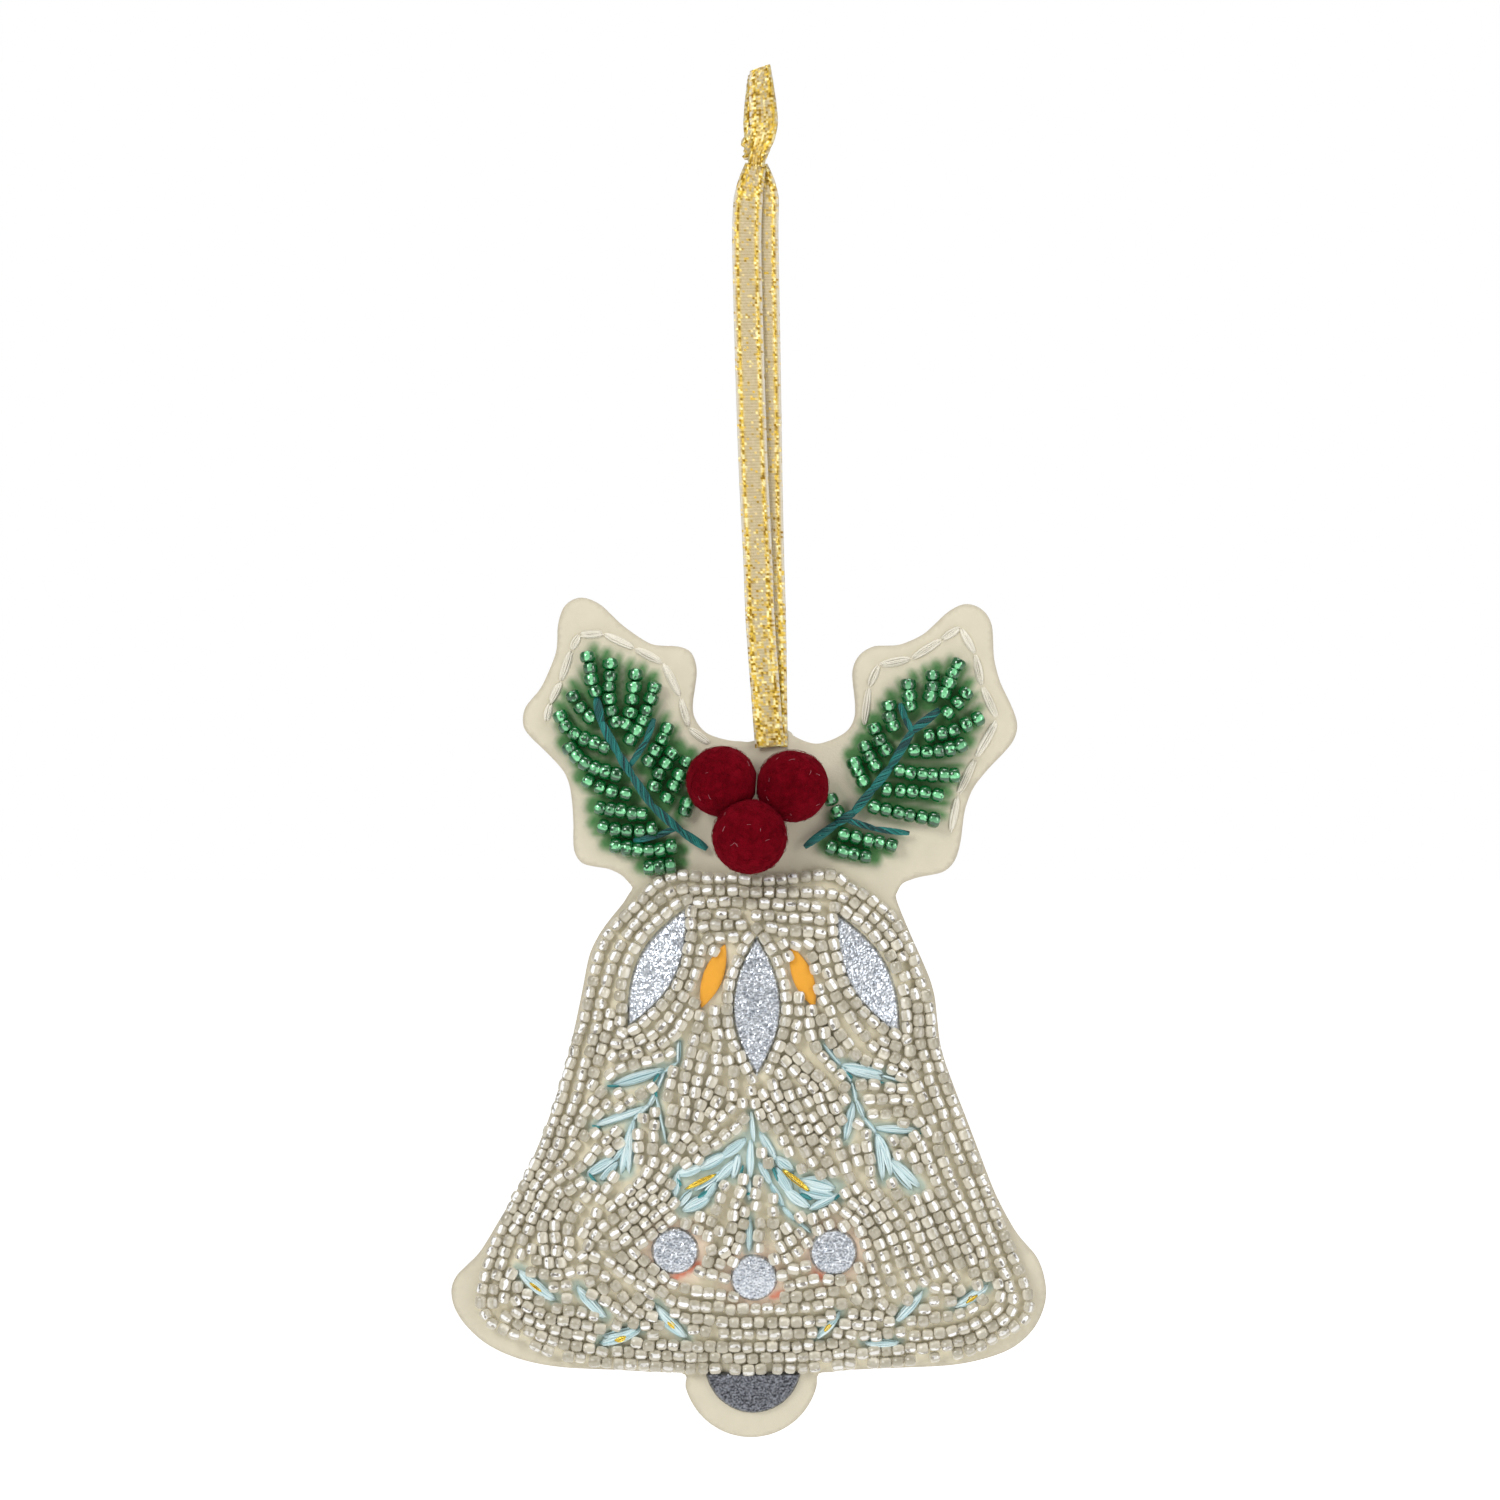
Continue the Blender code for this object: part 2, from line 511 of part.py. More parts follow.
def make_balls():
    """Wool felt balls: spheres pressed flat against the felt and against each other, where the
    plane between two of them lies halfway through their overlap."""
    behind = FRONT - LEAF_RISE - 2 * GAP
    placed = {}
    for name, (x, z, radius, proud) in BALLS.items():
        placed[name] = (np.array([x, behind - BALL_DEPTH * BALL_SEAT - proud, z]), radius)
    for name, (centre, radius) in placed.items():
        bm = bmesh.new()
        bmesh.ops.create_icosphere(bm, subdivisions=3, radius=1.0)
        points = np.array([v.co for v in bm.verts]) * (radius, BALL_DEPTH, radius) + centre
        points[:, 1] = np.minimum(points[:, 1], behind)
        for other, (place, size) in placed.items():
            if other == name:
                continue
            between = place - centre
            apart = np.linalg.norm(between)
            between = between / apart
            past = (points - centre) @ between - ((apart + radius - size) / 2 - 2 * GAP / 3)
            points -= np.maximum(past, 0)[:, None] * between
        for vert, place in zip(bm.verts, points * MM):
            vert.co = place
        mesh = bpy.data.meshes.new(name)
        bm.to_mesh(mesh)
        bm.free()
        mesh.shade_smooth()
        obj = bpy.data.objects.new(name, mesh)
        parts.objects.link(obj)
        finish(obj, RED_WOOL)


def make_leaves():
    """On each leaf: bead strands on the thread that carries them, the midrib laid over the
    thread, and the straight stitches inside the edge."""
    for name, strands in STRANDS.items():
        ribs = RIBS[name.replace("bead_strands", "midrib")]
        spine = smooth(ribs[0], 4)
        links = [
            np.array([s[-1], spine[np.linalg.norm(spine - s[-1], axis=1).argmin()]]) for s in strands
        ]
        threads = [stroke(ribs[0], THREAD)] + [stroke(link, THREAD, steps=1) for link in links]
        beads = [stroke(s, LEAF_BEAD_WIDTH, steps=1) for s in strands]
        obj = applique(name, beads, GAP, LEAF_BEAD_HEIGHT, GREEN_BEAD)
        thread = domed_plate(name + "_thread", threads, GAP + THREAD_LIFT, THREAD)
        cutters.objects.link(thread)
        thread.hide_render = True
        thread.display_type = "WIRE"
        boolean(thread, cutter(name + "_thread_outline", threads), "INTERSECT")
        boolean(obj, thread, "UNION")
    for name, ribs in RIBS.items():
        outlines = [stroke(rib, RIB_WIDTH) for rib in ribs]
        applique(name, outlines, LEAF_BEAD_HEIGHT + 2 * GAP, RIB_HEIGHT, TEAL_FLOSS)
    for name, line in OUTLINE_STITCHES.items():
        applique(name, [stroke(line, STITCH_WIDTH, steps=1)], GAP, STITCH_HEIGHT, IVORY_FLOSS)


def make_motifs():
    """Glitter cloth and orange felt shapes, sewn straight on the felt."""
    for name, (tip, other, width) in MARQUISES.items():
        applique(name, [lens(tip, other, width, steps=8)], GAP, GLITTER_HEIGHT, GLITTER)
    for name, (tip, other, width) in ORANGE_LEAVES.items():
        applique(name, [lens(tip, other, width)], GAP, ORANGE_HEIGHT, ORANGE_FELT)
    for name, centre in DISCS.items():
        applique(name, [disc(centre, DISC_RADIUS)], GAP, GLITTER_HEIGHT, GLITTER)
    x, z = CLAPPER_GLITTER_CENTRE
    top = HEM_BASE - GAP
    half = math.sqrt(CLAPPER_GLITTER_RADIUS**2 - (z - top) ** 2)
    turn = np.linspace(math.atan2(top - z, -half), math.atan2(top - z, half), 14)
    segment = np.array([x, z]) + CLAPPER_GLITTER_RADIUS * np.column_stack([np.cos(turn), np.sin(turn)])
    applique("clapper_glitter", [segment], GAP, GLITTER_HEIGHT, DARK_GLITTER)


def make_floss():
    """Satin-stitched sprigs and leaves on the felt, and the gold threads on top of them."""
    for name, (stem, width, *leaves) in SPRIGS.items():
        outlines = [stroke(stem, width)] + [lens(*leaf) for leaf in leaves]
        applique(name, outlines, GAP, FLOSS_HEIGHT, BLUE_FLOSS)
    for name, leaf in (PETALS | HEM_LEAVES).items():
        applique(name, [lens(*leaf)], GAP, FLOSS_HEIGHT, BLUE_FLOSS)
    for name, leaf in GOLD_ACCENTS.items():
        applique(name, [lens(*leaf, steps=4)], 2 * GAP + FLOSS_HEIGHT, GOLD_HEIGHT, GOLD_THREAD)


def field_loop(left, right, low, high, inset=0.0):
    """Part of the beaded field between two heights, drawn in from its sides."""
    left = left[(left[:, 1] > low) & (left[:, 1] < high)]
    right = right[(right[:, 1] > low) & (right[:, 1] < high)]
    corners = [
        [[np.interp(-z, -side[:, 1], side[:, 0]), z] for z in (high, low)] for side in (left, right)
    ]
    left = np.vstack([corners[0][0], left, corners[0][1]]) + (inset, 0)
    right = np.vstack([corners[1][0], right, corners[1][1]]) - (inset, 0)
    return left, right


def make_beads():
    """The silver beading, one piece for each part of the field that is sewn in its own direction,
    with the motifs left free."""
    motifs = [lens(*shape, grow=GAP, steps=8) for shape in MARQUISES.values()]
    leaves = (ORANGE_LEAVES | PETALS | HEM_LEAVES).values()
    motifs += [lens(*shape, grow=GAP) for shape in leaves]
    motifs += [disc(centre, DISC_RADIUS + GAP) for centre in DISCS.values()]
    for stem, width, *sprig_leaves in SPRIGS.values():
        motifs.append(stroke(stem, width, GAP))
        motifs += [lens(*shape, grow=GAP) for shape in sprig_leaves]
    clear = cutter("motif_clearance", motifs)

    top, left, right = (smooth(line, 2) for line in (FIELD_TOP, FIELD_LEFT, FIELD_RIGHT))
    crown_left, crown_right = field_loop(left, right, CROWN_LINE, left[1, 1])
    side_left, side_right = field_loop(left, right, HEM_LINE, CROWN_LINE - GAP)
    inner_left, inner_right = field_loop(left, right, HEM_LINE, CROWN_LINE - GAP, BORDER)
    centre_left, centre_right = (inner_left + (GAP, 0), inner_right - (GAP, 0))
    hem_left, hem_right = (smooth(line, 2) for line in (HEM_LEFT, HEM_RIGHT))
    regions = {
        "crown_beading": np.vstack([top[1:-1], crown_right[1:], crown_left[::-1]]),
        "left_border_beading": np.vstack([side_left, inner_left[::-1]]),
        "right_border_beading": np.vstack([inner_right, side_right[::-1]]),
        "centre_beading": np.vstack([centre_left, centre_right[::-1]]),
        "hem_beading": np.vstack([hem_left, hem_right[::-1]]),
    }
    for name, loop in regions.items():
        obj = applique(name, [loop], GAP, BEAD_HEIGHT, SILVER_BEAD)
        boolean(obj, clear, "DIFFERENCE")


def make_ribbon():
    """A ribbon doubled through its knot: two strands down to the fold, their sewn feet below it,
    the knot, and the two cut tails above."""
    near, far = -GAP / 2 - RIBBON_THICK, GAP / 2
    low = min(FRONT_STRAND[-1][1], BACK_STRAND[-1][1])
    for side, line, depth in (("front", FRONT_STRAND, near), ("back", BACK_STRAND, far)):
        strand = ribbon_strip(line, FOLD + FOLD_GAP / 2, STRAND_TOP)
        foot = ribbon_strip(line, low, FOLD - FOLD_GAP / 2)
        flat_piece(f"ribbon_{side}_strand", strand, depth, depth + RIBBON_THICK, GILT_RIBBON)
        flat_piece(f"ribbon_{side}_foot", foot, depth, depth + RIBBON_THICK, GILT_RIBBON)
    flat_piece("ribbon_tail_front", np.array(TAIL_FRONT), near, near + RIBBON_THICK, GILT_RIBBON)
    flat_piece("ribbon_tail_back", np.array(TAIL_BACK), far, far + RIBBON_THICK, GILT_RIBBON)

    bm = bmesh.new()
    bmesh.ops.create_cube(bm, size=1.0)
    bmesh.ops.scale(bm, vec=[side * MM for side in KNOT_SIZE], verts=bm.verts)
    mesh = bpy.data.meshes.new("ribbon_knot")
    bm.to_mesh(mesh)
    bm.free()
    knot = bpy.data.objects.new("ribbon_knot", mesh)
    knot.location = [at * MM for at in KNOT_CENTRE]
    parts.objects.link(knot)
    rounding = knot.modifiers.new("rounding", "BEVEL")
    rounding.width = KNOT_ROUNDING * MM
    rounding.segments = 3
    finish(knot, GILT_RIBBON)


for leftover in list(bpy.data.objects):
    bpy.data.objects.remove(leftover)
parts = collection("christmas_bell_ornament")
cutters = collection("cutters", rendered=False)
make_felt()
make_balls()
make_leaves()
make_motifs()
make_floss()
make_beads()
make_ribbon()
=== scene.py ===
import math

import bpy
import numpy as np
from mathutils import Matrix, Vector
from mathutils.geometry import delaunay_2d_cdt


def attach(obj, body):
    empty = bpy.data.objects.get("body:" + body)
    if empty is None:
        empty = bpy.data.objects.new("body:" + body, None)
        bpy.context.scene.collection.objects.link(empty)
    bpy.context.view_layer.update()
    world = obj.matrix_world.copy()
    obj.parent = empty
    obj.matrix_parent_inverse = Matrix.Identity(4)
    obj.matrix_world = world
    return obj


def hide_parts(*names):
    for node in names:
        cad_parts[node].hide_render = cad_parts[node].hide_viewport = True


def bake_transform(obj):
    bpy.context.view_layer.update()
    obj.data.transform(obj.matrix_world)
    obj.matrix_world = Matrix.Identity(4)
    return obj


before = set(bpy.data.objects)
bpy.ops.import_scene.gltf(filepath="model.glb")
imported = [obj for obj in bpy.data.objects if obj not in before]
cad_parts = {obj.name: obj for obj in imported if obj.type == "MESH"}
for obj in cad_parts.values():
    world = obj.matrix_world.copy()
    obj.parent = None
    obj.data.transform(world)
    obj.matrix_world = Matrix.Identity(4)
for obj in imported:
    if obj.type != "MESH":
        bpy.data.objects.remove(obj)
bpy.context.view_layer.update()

rng = np.random.default_rng(12)
MM = 0.001

# ---------------------------------------------------------------------------------------------
# The studio. A long lens looks straight at the beaded front. A pale floor lies well below the
# ornament, two soft boxes and a strip light it, and the surroundings are darker straight ahead.
lens, sensor, view_width = 100.0, 36.0, 0.255
camera_data = bpy.data.cameras.new("camera")
camera_data.lens = lens
camera_data.sensor_width = sensor
camera = bpy.data.objects.new("camera", camera_data)
camera.location = (-0.00136, -view_width * lens / sensor - 0.004, -0.1003)
camera.rotation_euler = (math.pi / 2, 0, 0)
bpy.context.scene.collection.objects.link(camera)
bpy.context.scene.camera = camera
bpy.context.scene.view_settings.view_transform = "Standard"


def add_node(tree, kind, inputs=None, **settings):
    """A shader node with these settings. Each input is given a value, or joined to a socket."""
    made = tree.nodes.new("ShaderNode" + kind)
    for key, value in settings.items():
        setattr(made, key, value)
    for key, value in (inputs or {}).items():
        if isinstance(value, bpy.types.NodeSocket):
            tree.links.new(value, made.inputs[key])
        else:
            made.inputs[key].default_value = value
    return made


def ramp(tree, value, low, high, start=0.0, end=1.0):
    """The value read off a straight line from start at low to end at high, and level beyond."""
    return add_node(tree, "MapRange", {"Value": value, "From Min": low, "From Max": high,
                                       "To Min": start, "To Max": end}).outputs["Result"]


def product(tree, first, second, clamped=False):
    """The product of two numbers, either of which may be a socket."""
    made = add_node(tree, "Math", {0: first, 1: second}, operation="MULTIPLY", use_clamp=clamped)
    return made.outputs[0]


def soft_box(name, place, aim, size, power):
    """A rectangular lamp at a place, turned to face the point it aims at."""
    data = bpy.data.lights.new(name, "AREA")
    data.shape = "RECTANGLE"
    data.size, data.size_y = size
    data.energy = power
    lamp = bpy.data.objects.new(name, data)
    lamp.location = place
    lamp.rotation_euler = (Vector(aim) - Vector(place)).to_track_quat("-Z", "Y").to_euler()
    bpy.context.scene.collection.objects.link(lamp)


middle = (0, 0, -0.15)
soft_box("key_light", (-0.55, -0.75, 0.35), middle, (0.3, 0.4), 4.5)
soft_box("fill_light", (0.65, -0.6, 0.0), middle, (0.25, 0.5), 1.9)
soft_box("top_light", (0.1, -0.15, 0.7), middle, (0.5, 0.3), 2.5)
soft_box("back_light", (0.2, 0.9, 0.3), middle, (0.5, 0.5), 3.0)

world = bpy.data.worlds.new("studio")
world.use_nodes = True
bpy.context.scene.world = world
sky = world.node_tree
sky.nodes.clear()
direction = add_node(sky, "TexCoord").outputs["Generated"]
ahead = add_node(sky, "VectorMath", {0: direction, 1: (0, -1, 0)}, operation="DOT_PRODUCT")
dark_ahead = ramp(sky, ahead.outputs["Value"], 0.8, 0.97, 0.4, 0.14)
seen = add_node(sky, "LightPath").outputs["Is Camera Ray"]
strength = add_node(sky, "Mix", {"Factor": seen, "A": dark_ahead, "B": 1.0})
glow = add_node(sky, "Background", {"Color": (1, 1, 1, 1), "Strength": strength.outputs["Result"]})
add_node(sky, "OutputWorld", {"Surface": glow.outputs["Background"]})

floor_mesh = bpy.data.meshes.new("floor")
floor_size, floor_height = 12.0, -0.5
corners = [(x * floor_size, y * floor_size, floor_height) for x, y in ((-1, -1), (1, -1), (1, 1), (-1, 1))]
floor_mesh.from_pydata(corners, [], [(0, 1, 2, 3)])
floor = bpy.data.objects.new("floor", floor_mesh)
bpy.context.scene.collection.objects.link(floor)
pale = bpy.data.materials.new("pale_floor")
pale.use_nodes = True
pale_shader = pale.node_tree.nodes["Principled BSDF"]
pale_shader.inputs["Base Color"].default_value = (0.9, 0.9, 0.9, 1)
pale_shader.inputs["Roughness"].default_value = 0.9
pale_shader.inputs["Emission Color"].default_value = (1, 1, 1, 1)
seen_floor = add_node(pale.node_tree, "LightPath").outputs["Is Camera Ray"]
floor_glow = add_node(pale.node_tree, "Mix", {"Factor": seen_floor, "A": 0.45, "B": 0.8})
pale.node_tree.links.new(floor_glow.outputs["Result"], pale_shader.inputs["Emission Strength"])
floor_mesh.materials.append(pale)

# ---------------------------------------------------------------------------------------------
# The ribbon: 5 mm woven ribbon with a gilt lurex stripe near each selvedge and a sheer beige middle.
# One length is doubled and knotted; its two strands hang from the knot to the sewn feet.
ribbon_width, ribbon_thickness = 5.0, 0.22
ribbon_step = 0.2
knot_low, foot_start, foot_end = -0.3, -90.5, -99.8
foot_overlap = 0.21
strand_depths = {"front": -0.42, "back": 0.42}
front_route = (
    (-0.3, -0.2), (-1.5, -5.1), (-1.9, -11.9), (-1.7, -23.8), (-1.2, -40.8), (-0.7, -54.4),
    (0, -68), (0.4, -78.2), (1.4, -91.8), (2, -99.8),
)
back_route = (
    (-0.2, -0.2), (1, -5.1), (1, -11.9), (1.2, -23.8), (1.5, -40.8), (1.7, -54.4),
    (2, -68), (2.3, -78.2), (2.5, -91.8), (2.6, -99.8),
)


def flip_if_inside_out(obj):
    """Turns every face round if the closed mesh holds a negative volume."""
    mesh = obj.data
    co = np.array([v.co for v in mesh.vertices])
    mesh.calc_loop_triangles()
    tri = np.empty(len(mesh.loop_triangles) * 3, int)
    mesh.loop_triangles.foreach_get("vertices", tri)
    a, b, c = (co[tri.reshape(-1, 3)[:, k]] for k in range(3))
    volume = (a * np.cross(b, c)).sum()
    if volume < 0:
        mesh.flip_normals()


def piece(name, points, faces, material, body, slot, smooth=True, **values):
    """A mesh from points in millimetres and lists of faces, with a number at each point for each
    named value. Its faces are turned outward. It rides on the body, unless none is given. Its
    slot is not used."""
    mesh = bpy.data.meshes.new(name)
    mesh.from_pydata((np.asarray(points) * MM).tolist(), [], [f for part in faces for f in part.tolist()])
    for key, numbers in values.items():
        attribute = mesh.attributes.new(key, "FLOAT", "POINT")
        attribute.data.foreach_set("value", np.asarray(numbers, np.float32).ravel())
    mesh.polygons.foreach_set("use_smooth", np.full(len(mesh.polygons), smooth))
    mesh.materials.append(material)
    mesh.validate()
    mesh.update()
    obj = bpy.data.objects.new(name, mesh)
    bpy.context.scene.collection.objects.link(obj)
    flip_if_inside_out(obj)
    if body:
        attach(obj, body)
    return obj


def surface(name, **sockets):
    """A material with its Principled shader's sockets set, its node tree and its shader."""
    material = bpy.data.materials.new(name)
    material.use_nodes = True
    shader = material.node_tree.nodes["Principled BSDF"]
    for key, value in sockets.items():
        shader.inputs[key.replace("_", " ").title().replace("Ior", "IOR")].default_value = value
    return material, material.node_tree, shader


def value_of(tree, name):
    """The number that a mesh keeps at each point under this name."""
    return add_node(tree, "Attribute", attribute_name=name).outputs["Fac"]


def blend_colours(tree, share, first, second, kind="MIX"):
    """The mix of two colours, or of colour sockets, by a share."""
    mix = add_node(tree, "Mix", {"Factor": share}, data_type="RGBA", blend_type=kind)
    for socket, colour in (("A_Color", first), ("B_Color", second)):
        at = next(i for i in mix.inputs if i.identifier == socket)
        if isinstance(colour, bpy.types.NodeSocket):
            tree.links.new(colour, at)
        else:
            at.default_value = (*colour, 1)
    return next(o for o in mix.outputs if o.identifier == "Result_Color")


def grain(tree, size, detail=2.0, stretch=(1, 1, 1)):
    """Noise on the object's own coordinates, whose marks are about this many millimetres across."""
    place = add_node(tree, "TexCoord").outputs["Object"]
    scaled = add_node(tree, "Mapping", {"Vector": place, "Scale": stretch})
    return add_node(tree, "TexNoise", {"Vector": scaled.outputs["Vector"], "Scale": 1 / (size * MM),
                                       "Detail": detail}).outputs["Fac"]


def bump(tree, shader, height, strength, distance):
    """Raises a surface by a height socket, by up to so many millimetres."""
    raised = add_node(tree, "Bump", {"Height": height, "Strength": strength, "Distance": distance * MM})
    tree.links.new(raised.outputs["Normal"], shader.inputs["Normal"])


def gilt_weave():
    """Beige sheer cloth where the value gilt is 0 and gold lurex where it is 1, both darker where
    shade is low, paler at the selvedges, with grains of foil that catch the light. The shade
    value paints the shade in the weft's grooves, and dark reflections and bright highlights
    on the foil."""
    material, tree, shader = surface("gilt_weave", roughness=0.3)
    gilt, shade = value_of(tree, "gilt"), value_of(tree, "shade")
    # The sheer middle is darker between the wefts, where shade is low: painted shade in the grooves
    middle_cloth = blend_colours(tree, shade, (0.36, 0.26, 0.11), (0.68, 0.58, 0.37))
    cloth = blend_colours(tree, value_of(tree, "selvedge"), middle_cloth, (0.66, 0.62, 0.54))
    # The foil's dark and bright colours are painted dark reflections and painted highlights on its grains
    foil = blend_colours(tree, ramp(tree, shade, 0.0, 0.5), (0.22, 0.1, 0.0), (0.78, 0.52, 0.06))
    foil = blend_colours(tree, ramp(tree, shade, 0.5, 1.0), foil, (1.0, 0.93, 0.5))
    tree.links.new(blend_colours(tree, gilt, cloth, foil), shader.inputs["Base Color"])
    tree.links.new(product(tree, gilt, 0.75), shader.inputs["Metallic"])
    bump(tree, shader, grain(tree, 0.22, 1.0), 0.9, 0.16)
    return material


gilt_ribbon = gilt_weave()


def curve_through(points, spacing, closed=False):
    """Evenly spaced points on a Catmull-Rom curve through the given ones."""
    p = np.asarray(points, float)
    before, after = (p[-1:], p[:2]) if closed else (2 * p[:1] - p[1:2], 2 * p[-1:] - p[-2:-1])
    p = np.vstack([before, p, after])
    t = np.linspace(0, 1, 24, endpoint=False)[:, None]
    spans = [
        (2 * b + (c - a) * t + (2 * a - 5 * b + 4 * c - d) * t**2 + (3 * b - a - 3 * c + d) * t**3) / 2
        for a, b, c, d in zip(p, p[1:], p[2:], p[3:])
    ]
    fine = np.vstack([*spans, p[1:2] if closed else p[-2:-1]])
    run = np.concatenate([[0], np.cumsum(np.linalg.norm(np.diff(fine, axis=0), axis=1))])
    count = max(int(round(run[-1] / spacing)), 2)
    at = np.linspace(0, run[-1], count + 1)
    even = np.column_stack([np.interp(at, run, column) for column in fine.T])
    return even[:-1] if closed else even


def unit(vectors):
    """The vectors, each scaled to a length of 1."""
    return vectors / np.maximum(np.linalg.norm(vectors, axis=-1, keepdims=True), 1e-12)


def ribbon(name, path, half, across, cup, body, start_run=0.0, pleat=0.0, gold=0.0, slant=0.0):
    """A ribbon along a path: at each step a flat oval section, half as wide as said, laid along the
    across vector, bowed by the cup, pleated lengthwise and cut aslant, with its two lurex stripes
    and each weft standing proud. gold adds specks of foil to the sheer middle."""
    steps, columns = len(path), 25
    s = np.linspace(-1, 1, columns)
    along = unit(np.gradient(path, axis=0))
    across = unit(across - (across * along).sum(1, keepdims=True) * along)
    facing = np.cross(along, across)
    facing *= np.sign(-facing[:, 1:2] + 1e-9) if abs(facing[:, 1]).min() > 0.05 else 1
    run = start_run + np.concatenate([[0], np.cumsum(np.linalg.norm(np.diff(path, axis=0), axis=1))])
    stripe = np.exp(-(((np.abs(s) - 0.64) / 0.13) ** 2))
    dense = gold + np.interp(run, (0, 3, 9, 62, 80, 100), (0.7, 0.6, 0.05, 0.05, 0.45, 0.75))[:, None]
    specks, strength, spark = rng.random((3, steps // 2 + 1, columns // 2 + 1)).repeat(2, 1).repeat(2, 2)[
        :, :steps, :columns]
    gilt = np.clip(stripe + (specks < 0.08 + dense) * (0.4 + 0.6 * strength), 0, 1)
    weft = 0.5 + 0.5 * np.cos(2 * math.pi * run / 0.52)[:, None]
    # shade is lower between the wefts, a painted shade in the grooves; glitter paints bright and dark glints
    # on the foil, painted highlights and painted reflections
    glitter = np.interp(spark, (0, 0.25, 0.35, 0.7, 0.8, 1), (-0.5, -0.35, -0.05, 0.05, 0.4, 0.5))
    shade = np.clip(0.5 + 0.4 * (weft - 0.5) * (1 - gilt) + glitter * (0.2 + 0.8 * gilt), 0, 1)
    selvedge = np.clip((np.abs(s) - 0.8) / 0.08, 0, 1) * np.ones((steps, 1)) * 0.8
    bow = cup[:, None] * (1 - s**2) + np.reshape(pleat, (-1, 1)) * np.cos(3 * math.pi * s)
    rise = bow + 0.09 * stripe + 0.03 * weft
    rise = rise + 0.12 * gilt * (rng.random((steps, columns)) - 0.5)
    edge = np.sqrt(1 - np.clip(np.abs(s) - 0.9, 0, 0.1) ** 2 / 0.1**2 * 0.9) * ribbon_thickness / 2
    base = path[:, None] + across[:, None] * (s[:, None] * half[:, None, None])
    base = base + (np.reshape(slant, (-1, 1)) * s * half[:, None])[..., None] * (0, 0, 1)
    front = base + facing[:, None] * (rise + edge)[..., None]
    back = base + facing[:, None] * (bow - edge)[..., None]
    ring = np.concatenate([front, back[:, ::-1]], axis=1)
    width = ring.shape[1]
    i, j = np.meshgrid(np.arange(steps - 1), np.arange(width), indexing="ij")
    j1 = (j + 1) % width
    walls = np.stack([i * width + j, i * width + j1, (i + 1) * width + j1, (i + 1) * width + j], -1)
    cap = np.arange(columns - 1)
    first = np.stack([cap, width - 1 - cap, width - 2 - cap, cap + 1], -1)
    last = first[:, ::-1] + (steps - 1) * width
    both = [np.concatenate([v, v[:, ::-1]], axis=1).ravel() for v in (gilt, shade, selvedge)]
    return piece(name, ring.reshape(-1, 3), [walls.reshape(-1, 4), first, last], gilt_ribbon, body,
                 "gilt_ribbon", gilt=both[0], shade=both[1], selvedge=both[2])


def strand_surface(name, route, depth, low, high, sway):
    """A straight hanging stretch of the ribbon between two heights: drawn in to a waist under the
    knot, slightly bowed, and turning a little about its own length on its way down."""
    line = curve_through(route, ribbon_step)
    line = line[(line[:, 1] >= low) & (line[:, 1] <= high)]
    run = -line[:, 1]
    path = np.column_stack([line[:, 0], depth + 0.06 * np.sin(run / 9 + sway), line[:, 1]])
    half = np.interp(run, (0, 2.2, 6), (0.36, 0.42, 0.5)) * ribbon_width
    tilt = 0.10 * np.sin(run / 14 + sway) + 0.35 * np.exp(-run / 3)
    across = np.column_stack([np.cos(tilt), np.sin(tilt) * 0.3, np.zeros(len(line))])
    cup = np.interp(run, (0, 5, 20, 100), (0.45, 0.25, 0.08, 0.03)) * (1 if depth < 0 else -1)
    pleat = 0.22 * np.exp(-run / 6) + 0.16 * np.exp(-(((run - 99) / 4) ** 2))
    return ribbon(name, path, half, across, cup, None, run[0], pleat)


strands, feet = {}, {}
for side, route, sway in (("front", front_route, 0.4), ("back", back_route, 2.6)):
    depth = strand_depths[side]
    strand = strand_surface(f"ribbon_{side}_length", route, depth, foot_start, knot_low, sway)
    foot = strand_surface(f"ribbon_{side}_end", route, depth, foot_end, foot_start + foot_overlap, sway)
    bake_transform(strand)
    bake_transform(foot)
    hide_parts(f"ribbon_{side}_strand")
    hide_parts(f"ribbon_{side}_foot")
    strands[side], feet[side] = (strand, route), foot

# The knot: an overhand knot pulled tight. One turn of the ribbon lies slantwise round the gathered
# strands, under the front tail. The two cut ends stand up out of it, cut aslant.
knot_centre = np.array((-0.25, 0.3, 2.9))
turn = np.linspace(0, 2 * math.pi, 90)
knot_path = knot_centre + np.column_stack([
    1.85 * np.sin(turn), -1.0 * np.cos(turn), 0.9 * np.sin(turn + 0.5),
])
knot_across = np.column_stack([
    -0.4 * np.cos(turn), 0.25 * np.sin(turn), np.ones(len(turn)),
])
knot_half = 1.7 + 0.5 * np.cos(turn - 0.4)
wrap = ribbon("ribbon_knot_turn", knot_path, knot_half, knot_across, np.full(len(turn), 0.15),
              "ribbon_top", pleat=0.15, gold=0.5)
core_route = ((-0.3, 0.0, -0.8), (-0.1, 0.2, 1.2), (0.2, 0.2, 3.2), (0.5, 0.1, 6.0))
core_path = curve_through(core_route, ribbon_step)
core_half = np.interp(core_path[:, 2], (-0.8, 0.4, 2.5, 6), (1.5, 1.45, 2, 2.2))
core_across = np.tile((1.0, 0.15, 0.0), (len(core_path), 1))
core = ribbon("ribbon_knot_core", core_path, core_half, core_across, np.full(len(core_path), 0.5),
              "ribbon_top")
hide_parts("ribbon_knot")

